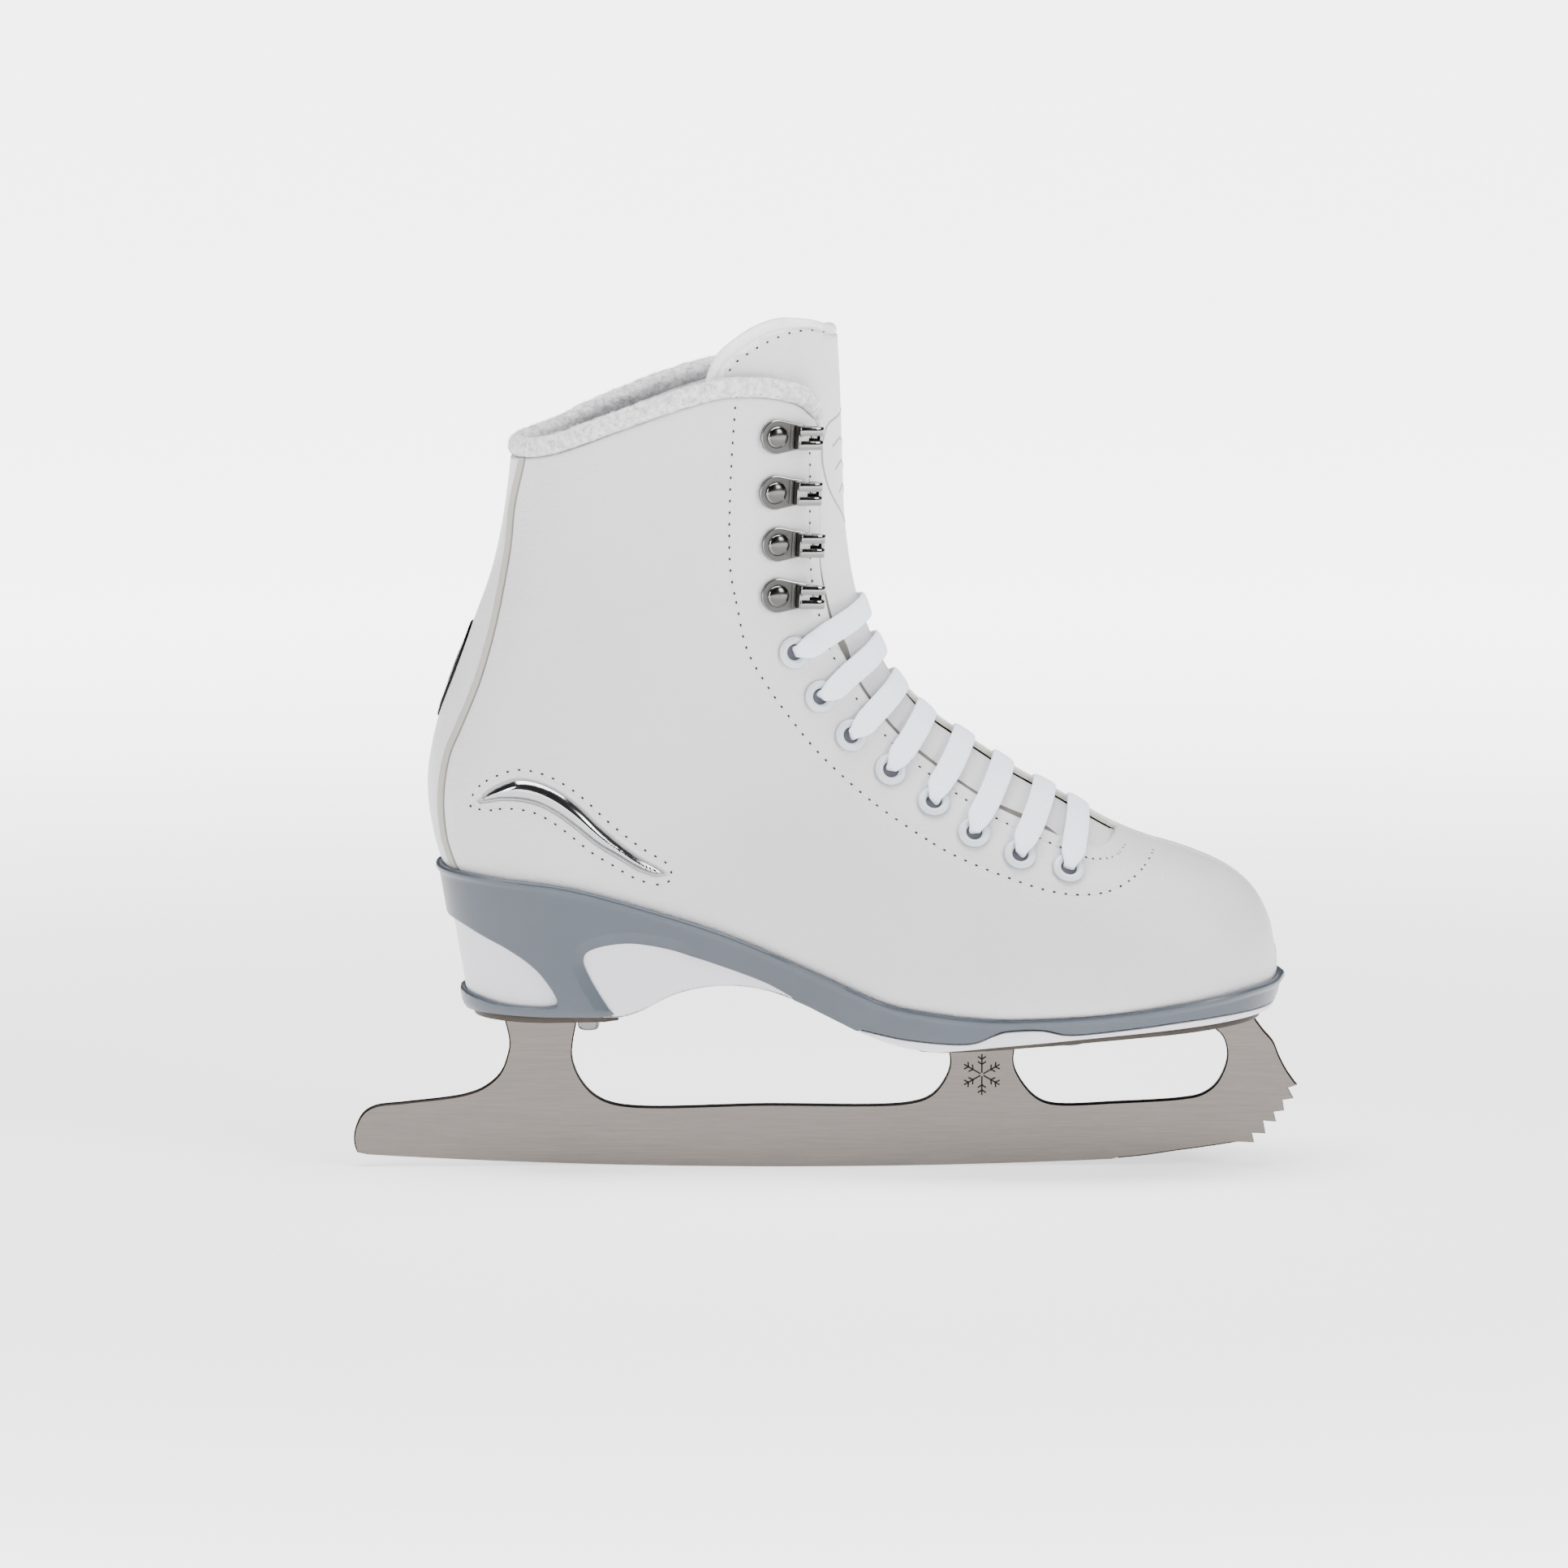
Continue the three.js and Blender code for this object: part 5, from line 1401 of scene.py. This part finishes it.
LACE_STEP, LACE_SIDES = 6, 22
lace_index = np.linspace(0, len(route) - 1, (len(route) - 1) * LACE_STEP + 1)
lace_at, lace_up, lace_size = (along([r[k] for r in route], lace_index) for k in range(3))
lace_up = unit(lace_up)
run = unit(np.gradient(lace_at, axis=0))
lace_across = unit(np.cross(run, lace_up))
lace_up = np.cross(lace_across, run)
lace_run = run_lengths(lace_at)
turn = full_turn(LACE_SIDES)
flat_x = np.sign(np.cos(turn)) * np.abs(np.cos(turn)) ** 0.5
flat_y = np.sign(np.sin(turn)) * np.abs(np.sin(turn)) ** 0.75
rings, lace_uv = [], []
for i in range(len(lace_at)):
    w, h = lace_size[i]
    cup = -0.05 * w * flat_x**2 * (w > 3)
    rings.append(lace_at[i] + np.outer(flat_x * w, lace_across[i]) + np.outer(flat_y * h + cup, lace_up[i]))
    lace_uv += [(lace_run[i], x * w) for x in flat_x]
lace_uv += [(0, 0), (lace_run[-1], 0)]
dress("lace", loft(rings), LACE, "lace_white", angle=70, uv=lace_uv)


# ---- unit sole
SOLE_BOTTOM = curve([
    [-61, 49.5], [-55, 51.5], [-45.7, 56.3], [-36, 58.8], [-26, 59.2], [-16.4, 57.6], [-6.7, 54],
    [3, 49.4], [12.8, 44.7], [22.5, 41.5], [33, 39.9],
])
SOLE_BOTTOM = np.vstack([[-140, 49.5], [-64, 49.5], SOLE_BOTTOM, [[140, 49.4]]])
RAND_LOW = np.vstack([
    [[-140, 40], [0, 40]],
    curve([
        [10.4, 46.6], [23, 43.9], [37.4, 42.6], [44.7, 43], [50, 45.2], [54.4, 46.5], [64.4, 46.8],
        [73.4, 45.2], [91.5, 46.8], [104.9, 48.4], [118.5, 49.8],
    ]),
    [[140, 51.4]],
])
HEEL_WINDOW = curve([
    [-136, 82], [-124, 79.6], [-112, 77], [-103, 73], [-94.4, 69], [-87.4, 64.2], [-82.8, 59], [-80.4, 54.6],
    [-81.5, 53], [-88, 52.6], [-98, 53], [-109, 55], [-124, 57.4], [-136, 58.6],
])
ARCH_WINDOW = np.vstack([
    curve([
        [-59.5, 44], [-63.5, 50], [-68, 57], [-71.4, 63.4], [-72.4, 67], [-70.8, 69.6], [-65, 71.4],
        [-57.2, 72], [-47.2, 70.4], [-38.4, 67.8], [-28.4, 64.4], [-18, 60.4], [-10, 56],
    ]),
    [[-8, 44]],
])
RAND_THICKNESS, RAND_GROW = 1.6, 2.0
ARC_STATIONS, SIDE_STATIONS = 56, 120


def sole_stations():
    """Places round the feather line, and the ways out from them, from the outer side over the toe."""
    def beside(start, end, angle):
        xs = np.linspace(start, end, SIDE_STATIONS, endpoint=False)
        return [((x, BALL[1] * smooth(HEEL[0], BALL[0], x)), angle) for x in xs]

    stations = [(BALL, a) for a in np.linspace(-90, 90, ARC_STATIONS, endpoint=False)]
    stations += beside(BALL[0], HEEL[0], 90)
    stations += [(HEEL, a) for a in np.linspace(90, 270, ARC_STATIONS, endpoint=False)]
    stations += beside(HEEL[0], BALL[0], -90)
    found = [around(centre, math.radians(angle), FEATHER) for centre, angle in stations]
    at = np.array([f[0] for f in found])
    out = np.array([f[1] for f in found])
    for _ in range(4):
        out = unit(np.roll(out, 1, 0) + 2 * out + np.roll(out, -1, 0))
    return at, out


edge_at, edge_out = sole_stations()
STATIONS = len(edge_at)
feather_z = height(FEATHER, edge_at[:, 0])
bottom_z = height(SOLE_BOTTOM, edge_at[:, 0])
taper = 2.4 + np.where(edge_at[:, 0] < -60, 5 * np.clip(-edge_out[:, 0], 0, 1), 0)


def wall(grow, z):
    """The sole's wall at heights z, moved out by grow; both may differ from station to station."""
    share = (feather_z - z) / (feather_z - bottom_z)
    p = edge_at + edge_out * (grow - taper * share)[:, None]
    p[:, 2] = z
    return p


# the grey rand: a lip that turns in to the leather, a bead, and a wall with windows
LIP = [
    (-1.9, 0.1), (-1.2, 0.55), (-0.4, 0.75), (0.3, 0.6), (0.75, 0.1), (0.85, -0.6), (0.6, -1.2),
    (0.2, -1.6), (0, -2.2),
]
lip_rows = [wall(RAND_GROW + g, feather_z + dz) for g, dz in LIP]
levels = np.linspace(0, 1, 44)[1:]
high_z = feather_z + LIP[-1][1]
low_z = np.maximum(bottom_z, height(RAND_LOW, edge_at[:, 0]) - 2)
wall_rows = [wall(RAND_GROW, high_z - (high_z - low_z) * t) for t in levels]
for row, t in zip(wall_rows[-3:], (0.25, 0.6, 1.0)):
    heel = smooth(0, -8, edge_at[:, 0])
    row -= edge_out * (0.8 * t * t * heel)[:, None]
rand_points = np.vstack(lip_rows + wall_rows)
outs = np.tile(edge_out, (len(LIP) + len(levels), 1))
rand_faces, rand_normals = facing(rand_points, grid_faces(len(LIP) + len(levels), STATIONS), outs)
rand = (np.hstack([rand_points, rand_normals, outs]), rand_faces)
rand = trimmed(rand, lambda v: v[:, 2] - height(RAND_LOW, v[:, 0]) - 0.15, (0, 0.4, 1.0))
rand = trimmed(rand, lambda v: field(flat(v), HEEL_WINDOW), (0, 0.25, 0.8, 1.6))
rand = trimmed(rand, lambda v: field(flat(v), ARCH_WINDOW), (0, 0.3, 1.1, 2.2, 3.6, 3.9))
v = rand[0]
arch, heel = field(flat(v), ARCH_WINDOW), field(flat(v), HEEL_WINDOW)
slope_zone = smooth(-35, -50, v[:, 0])
depth = np.clip(1 - arch / 3.6, 0, 1) * 1.4 * slope_zone
depth = np.maximum(depth, rounded(arch, 0.6) * (1 - slope_zone))
depth = np.maximum(depth, rounded(heel, 0.8))
depth = depth - 0.45 * bell(heel, 0.9, 0.6) * smooth(60, 56, v[:, 2]) * smooth(0.1, 0.5, heel)
depth = np.maximum(depth, rounded(v[:, 2] - height(RAND_LOW, v[:, 0]) - 0.15, 0.6) * (v[:, 0] > 2))
inner = v[:, :3] - v[:, 6:9] * RAND_THICKNESS
inner[:, 2] = np.minimum(inner[:, 2], height(FEATHER, v[:, 0]) - 0.4)
solid, _ = shell(rand, 0, depth, inner)
dress("sole_rand", solid, GREY_SOLE, "rand_grey", angle=42)

# the white outsole inside it, full out below the rand in the forefoot
band = np.clip(height(RAND_LOW, edge_at[:, 0]) - bottom_z, 0, None) * (edge_at[:, 0] > 0)
step_out = 1.75 * smooth(0, 0.6, band)
pad = smooth(48, 53, edge_at[:, 0]) * smooth(74, 68, edge_at[:, 0]) * 0.5
outsole_top = feather_z - 4.2
rows = [wall(-6.0, feather_z - 4.6)]
rows += [wall(0.1, outsole_top - (outsole_top - bottom_z - band) * t) for t in np.linspace(0, 1, 14)]
rows += [
    wall(0.1 + step_out * 0.6, bottom_z + band),
    wall(0.1 + step_out + pad * 0.7, bottom_z + band - np.minimum(0.25, band / 4)),
    wall(0.1 + step_out + pad, bottom_z + band - np.minimum(0.8, band / 2)),
    wall(0.1 + step_out + pad * 0.5, bottom_z + np.minimum(0.9, band / 3 + 0.5)),
    wall(0.1 + step_out * 0.85, bottom_z + np.minimum(0.35, band / 6 + 0.15)),
    wall(-0.5 + step_out * 0.7, bottom_z),
]


CAP_COLUMNS = 14


def bridged(ring, line, rise, up):
    """A cap across a ring of stations that follows a side-view line; stations pair up from the toe back."""
    toe = ARC_STATIONS // 2
    rows = []
    for k in range(STATIONS // 2 + 1):
        start, end = ring[(toe + k) % STATIONS], ring[(toe - k) % STATIONS]
        row = start + (end - start) * np.linspace(0, 1, CAP_COLUMNS)[:, None]
        row[1:-1, 2] = height(line, row[1:-1, 0]) + rise
        rows.append(row)
    points = np.array(rows).reshape(-1, 3)
    return points, facing(points, grid_faces(len(rows), CAP_COLUMNS, wrap=False), [0, 0, up])[0]


points = np.array(rows).reshape(-1, 3)
faces, _ = facing(points, grid_faces(len(rows), STATIONS), np.tile(edge_out, (len(rows), 1)))
under = bridged(rows[-1], SOLE_BOTTOM, 0, -1)
over = bridged(rows[0], FEATHER, -4.6, 1)
dress("outsole", merged([(points, faces), under, over]), WHITE_SOLE, "sole_white", angle=42)


# ---- blade, plates, screws
BLADE_THICKNESS, PLATE_THICKNESS = 3.9, 2.4
HEEL_PLATE_BOTTOM, SOLE_PLATE_SLOPE = 46.8, 0.089
SOLE_PLATE_START = (33, 37.2)
ROCKER_RADIUS, ROCKER_LOW_X = 2150, -13
HEEL_FOOT = HEEL_PLATE_BOTTOM - 0.1


def rocker(x):
    return ROCKER_RADIUS - math.sqrt(ROCKER_RADIUS**2 - (x - ROCKER_LOW_X) ** 2)


def sole_foot(x):
    return SOLE_PLATE_START[1] + SOLE_PLATE_SLOPE * (x - SOLE_PLATE_START[0]) - 0.1


def flowing(points, spacing=1.2):
    """A centripetal Catmull-Rom line through unevenly spaced points."""
    p = np.asarray(points, float)
    p = np.vstack([2 * p[0] - p[1], p, 2 * p[-1] - p[-2]])
    line = []
    for i in range(1, len(p) - 2):
        a, b, c, d = p[i - 1:i + 3]
        t0 = 0.0
        t1 = t0 + np.linalg.norm(b - a) ** 0.5
        t2 = t1 + np.linalg.norm(c - b) ** 0.5
        t3 = t2 + np.linalg.norm(d - c) ** 0.5
        for t in np.linspace(t1, t2, 12, endpoint=False):
            ab = a * (t1 - t) / (t1 - t0) + b * (t - t0) / (t1 - t0)
            bc = b * (t2 - t) / (t2 - t1) + c * (t - t1) / (t2 - t1)
            cd = c * (t3 - t) / (t3 - t2) + d * (t - t2) / (t3 - t2)
            abc = ab * (t2 - t) / (t2 - t0) + bc * (t - t0) / (t2 - t0)
            bcd = bc * (t3 - t) / (t3 - t1) + cd * (t - t1) / (t3 - t1)
            line.append(abc * (t2 - t) / (t2 - t1) + bcd * (t - t1) / (t2 - t1))
    return resample(np.array(line + [p[-2]]), spacing)


BLADE_RUNS = [  # the running edge, its rise, the toe rake, and the stanchions and windows back to the tail
    [[x, rocker(x)] for x in np.arange(-138, 87, 2.0)],
    flowing([[88, 2.6], [96, 3.4], [105.4, 4.8], [115, 6.1], [123.9, 7.5]], 2.0),
    [
        [129, 7.3], [128.3, 10.2], [132.4, 10], [131.7, 13.9], [135.6, 13.6], [134.8, 16.6], [138, 17],
        [137.5, 20.2], [140.7, 20.7], [139, 23.9], [141.9, 24.8],
    ],
    flowing([
        [141.2, 25.6], [138.7, 29.2], [136.5, 33.4], [134.6, 38], [131.7, 41.4], [128.6, sole_foot(128.6)],
    ]),
    flowing([
        [114, sole_foot(114)], [116.6, 42.2], [119.5, 39.3], [120.7, 34.1], [119.7, 29.5], [117, 24.8],
        [113, 22], [108, 20.9], [88, 19.6], [68.1, 19.2], [63.5, 21], [59.1, 25.8], [56.6, 31.4],
        [57.4, sole_foot(57.4)],
    ]),
    flowing([
        [36.6, sole_foot(36.6)], [37.4, 31.4], [35.9, 26.8], [32, 21.9], [25.7, 19.5], [-18, 18.9],
        [-62, 18.8], [-69.3, 21.7], [-73.9, 27], [-76.1, 33.1], [-75.9, 38], [-74.2, HEEL_FOOT],
    ]),
    flowing([
        [-97, HEEL_FOOT], [-95.1, 38], [-95.6, 34.1], [-97.8, 28.5], [-102.2, 24.4], [-108.3, 21.9],
        [-126, 19.5], [-135.6, 18.3], [-139.2, 16.1], [-141.6, 11.2], [-141.9, 7.5], [-141, 4.4],
    ]),
]
outline = np.vstack(BLADE_RUNS)
ground = np.arange(len(outline)) < len(BLADE_RUNS[0])
GROUND_BEVEL, EDGE_BEVEL, TOOTH_BEVEL = 0.05, 0.42, 0.18
HOLLOW = 0.16
bevel = np.where(ground, GROUND_BEVEL, EDGE_BEVEL)
bevel[(outline[:, 0] > 123) & (outline[:, 1] < 25.2)] = TOOTH_BEVEL

half = BLADE_THICKNESS / 2
rings = []
for y, inset, rise in (
    (-half, bevel, 0), (-half + EDGE_BEVEL, 0, 0.01), (-half / 2, 0, HOLLOW * 0.75), (0, 0, HOLLOW),
    (half / 2, 0, HOLLOW * 0.75), (half - EDGE_BEVEL, 0, 0.01), (half, bevel, 0),
):
    loop = grown(outline, -inset)
    rings.append(np.column_stack([loop[:, 0], np.full(len(loop), y), loop[:, 1] + rise * ground]))
points = np.vstack(rings)
sides = outward(points, grid_faces(len(rings), len(outline)))
fill = np.array(tessellate_polygon([[Vector((x, z, 0)) for x, _, z in rings[0]]]))
a, b, c = (rings[0][fill[:, k]] for k in range(3))
fill = np.where(np.cross(b - a, c - a)[:, 1:2] > 0, fill[:, ::-1], fill)
faces = np.vstack([sides, fill, fill[:, ::-1] + (len(rings) - 1) * len(outline)])
side_looks = np.where(ground[sides.min(1) % len(outline)], 2, 1)
which = np.concatenate([side_looks, np.zeros(2 * len(fill), int)])
dress("blade", (points, faces), [STEEL, EDGE_STEEL, GROUND_STEEL], "blade_steel", which, angle=25)


STAR_CENTRE, STAR_ARM = (47, 28), 6.2


def star_lines():
    """Six arms with two pairs of twigs each."""
    lines = []
    for a in np.radians(np.arange(30, 390, 60)):
        arm = np.array([math.cos(a), math.sin(a)])
        lines.append(np.array([arm * 0.5, arm * STAR_ARM]))
        for share in (0.5, 0.75):
            for turned in (a - math.radians(55), a + math.radians(55)):
                twig = np.array([math.cos(turned), math.sin(turned)])
                lines.append(np.array([arm * STAR_ARM * share, arm * STAR_ARM * share + twig * 1.5]))
    return [line + STAR_CENTRE for line in lines]


star = []
for side in SIDES.values():
    for line in star_lines():
        (x0, z0), (x1, z1) = line
        run = unit(np.array([x1 - x0, 0, z1 - z0]))
        wide = np.cross(run, [0, 1, 0]) * 0.22
        a, b = np.array([x0, side * half, z0]), np.array([x1, side * half, z1])
        out = np.array([0, side * 0.03, 0])
        star.append(loft([[q + wide + out, q - wide + out, q - wide - out, q + wide - out] for q in (a, b)]))
piece("blade_star", merged(star), EDGE_STEEL, slot="blade_steel", angle=30)


def plate_piece(name, outline, mounted):
    points, faces = slab(resample_loop(outline, 0.8), 0, PLATE_THICKNESS, 0.45)
    dress(name, (mounted(points), faces), PLATE_STEEL, "plate_steel", angle=50)


TILT = math.atan(SOLE_PLATE_SLOPE)


def on_heel_plate(points):
    return points + [0, 0, HEEL_PLATE_BOTTOM]


def on_sole_plate(points):
    x, y, z = (points - [SOLE_PLATE_START[0], 0, 0]).T
    c, s = math.cos(TILT), math.sin(TILT)
    return np.column_stack([x * c - z * s + SOLE_PLATE_START[0], y, x * s + z * c + SOLE_PLATE_START[1]])


plate_piece("heel_plate", np.vstack([
    arc_points((-83, 0), (22.6, 25), 90, 270, 40), [[-66, -23], [-62, -19], [-62, 19], [-66, 23]],
]), on_heel_plate)
plate_piece("sole_plate", np.vstack([
    arc_points((98, 2), (33, 30), -90, 90, 50),
    [[70, 31], [48, 27], [34, 22], [28, 15], [28, -15], [34, -22], [48, -27], [70, -29]],
]), on_sole_plate)


CROSS_RADII = (0.15, 0.5, 0.8, 1.1, 1.4, 1.6, 1.75)
CROSS_HALF, CROSS_REACH, CROSS_DEPTH = 0.36, 1.65, 0.75
HEAD_PROFILE = [(2.0, -2.78), (2.4, -2.66), (2.8, -2.4), (3.1, -2.0), (3.28, -1.4)]
HEAD_HEIGHT = 2.8  # of that profile
THREAD_PITCH = 1.3


def make_screw(length, head_height):
    """A pan head under the plate with a cross recess, and a threaded shank."""
    def ring(r, z):
        return [[r * math.cos(a), r * math.sin(a), z] for a in full_turn(64)]

    rings = []
    for r in CROSS_RADII:
        rings.append(ring(r, -head_height))
        for spot in rings[-1]:
            near, far = sorted((abs(spot[0]), abs(spot[1])))
            if near < CROSS_HALF and far < CROSS_REACH:
                spot[2] += CROSS_DEPTH
    rings += [ring(r, z * head_height / HEAD_HEIGHT) for r, z in HEAD_PROFILE]
    rings += [ring(3.3, -0.1), ring(1.9, -0.05 * head_height / HEAD_HEIGHT)]
    for z in np.linspace(0, length - 2, int(length / THREAD_PITCH * 4)):
        rings.append(ring(1.75 + 0.14 * math.cos(2 * math.pi * z / THREAD_PITCH), z))
    return loft(rings + [ring(0.2, length)])


full_screw, low_screw, short_screw = make_screw(16, 2.8), make_screw(16, 1.1), make_screw(6, 0.9)
HEEL_SCREWS = [(-91, -12, low_screw), (-91, 12, low_screw), (-71, -18.5, full_screw), (-71, 18.5, full_screw)]
SOLE_SCREWS = [
    (x, y, short_screw) for x, y in ((40, -12), (40, 12), (74, -22), (74, 24), (112, -16), (112, 20))
]
for where, screws, mounted in (("heel", HEEL_SCREWS, on_heel_plate), ("sole", SOLE_SCREWS, on_sole_plate)):
    for i, (x, y, (points, faces)) in enumerate(screws, 1):
        solid = mounted(points + [x, y, 0]), faces
        dress(f"screw_{where}_{i}", solid, NICKEL, "screw_steel", angle=40)


# ---- stiffeners, floor, end
for name in ("heel_counter", "toe_puff", "insole_board"):
    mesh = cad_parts[name].data
    mesh.materials.clear()
    mesh.materials.append(BOARD)

FLOOR_RADIUS = 14
floor_mesh = bpy.data.meshes.new("floor")
rim = full_turn(96)
floor_mesh.from_pydata(
    [(FLOOR_RADIUS * math.cos(a), FLOOR_RADIUS * math.sin(a), 0) for a in rim], [], [tuple(range(len(rim)))])
floor_mesh.materials.append(GLOWING_FLOOR)
floor = bpy.data.objects.new("floor", floor_mesh)
bpy.context.scene.collection.objects.link(floor)
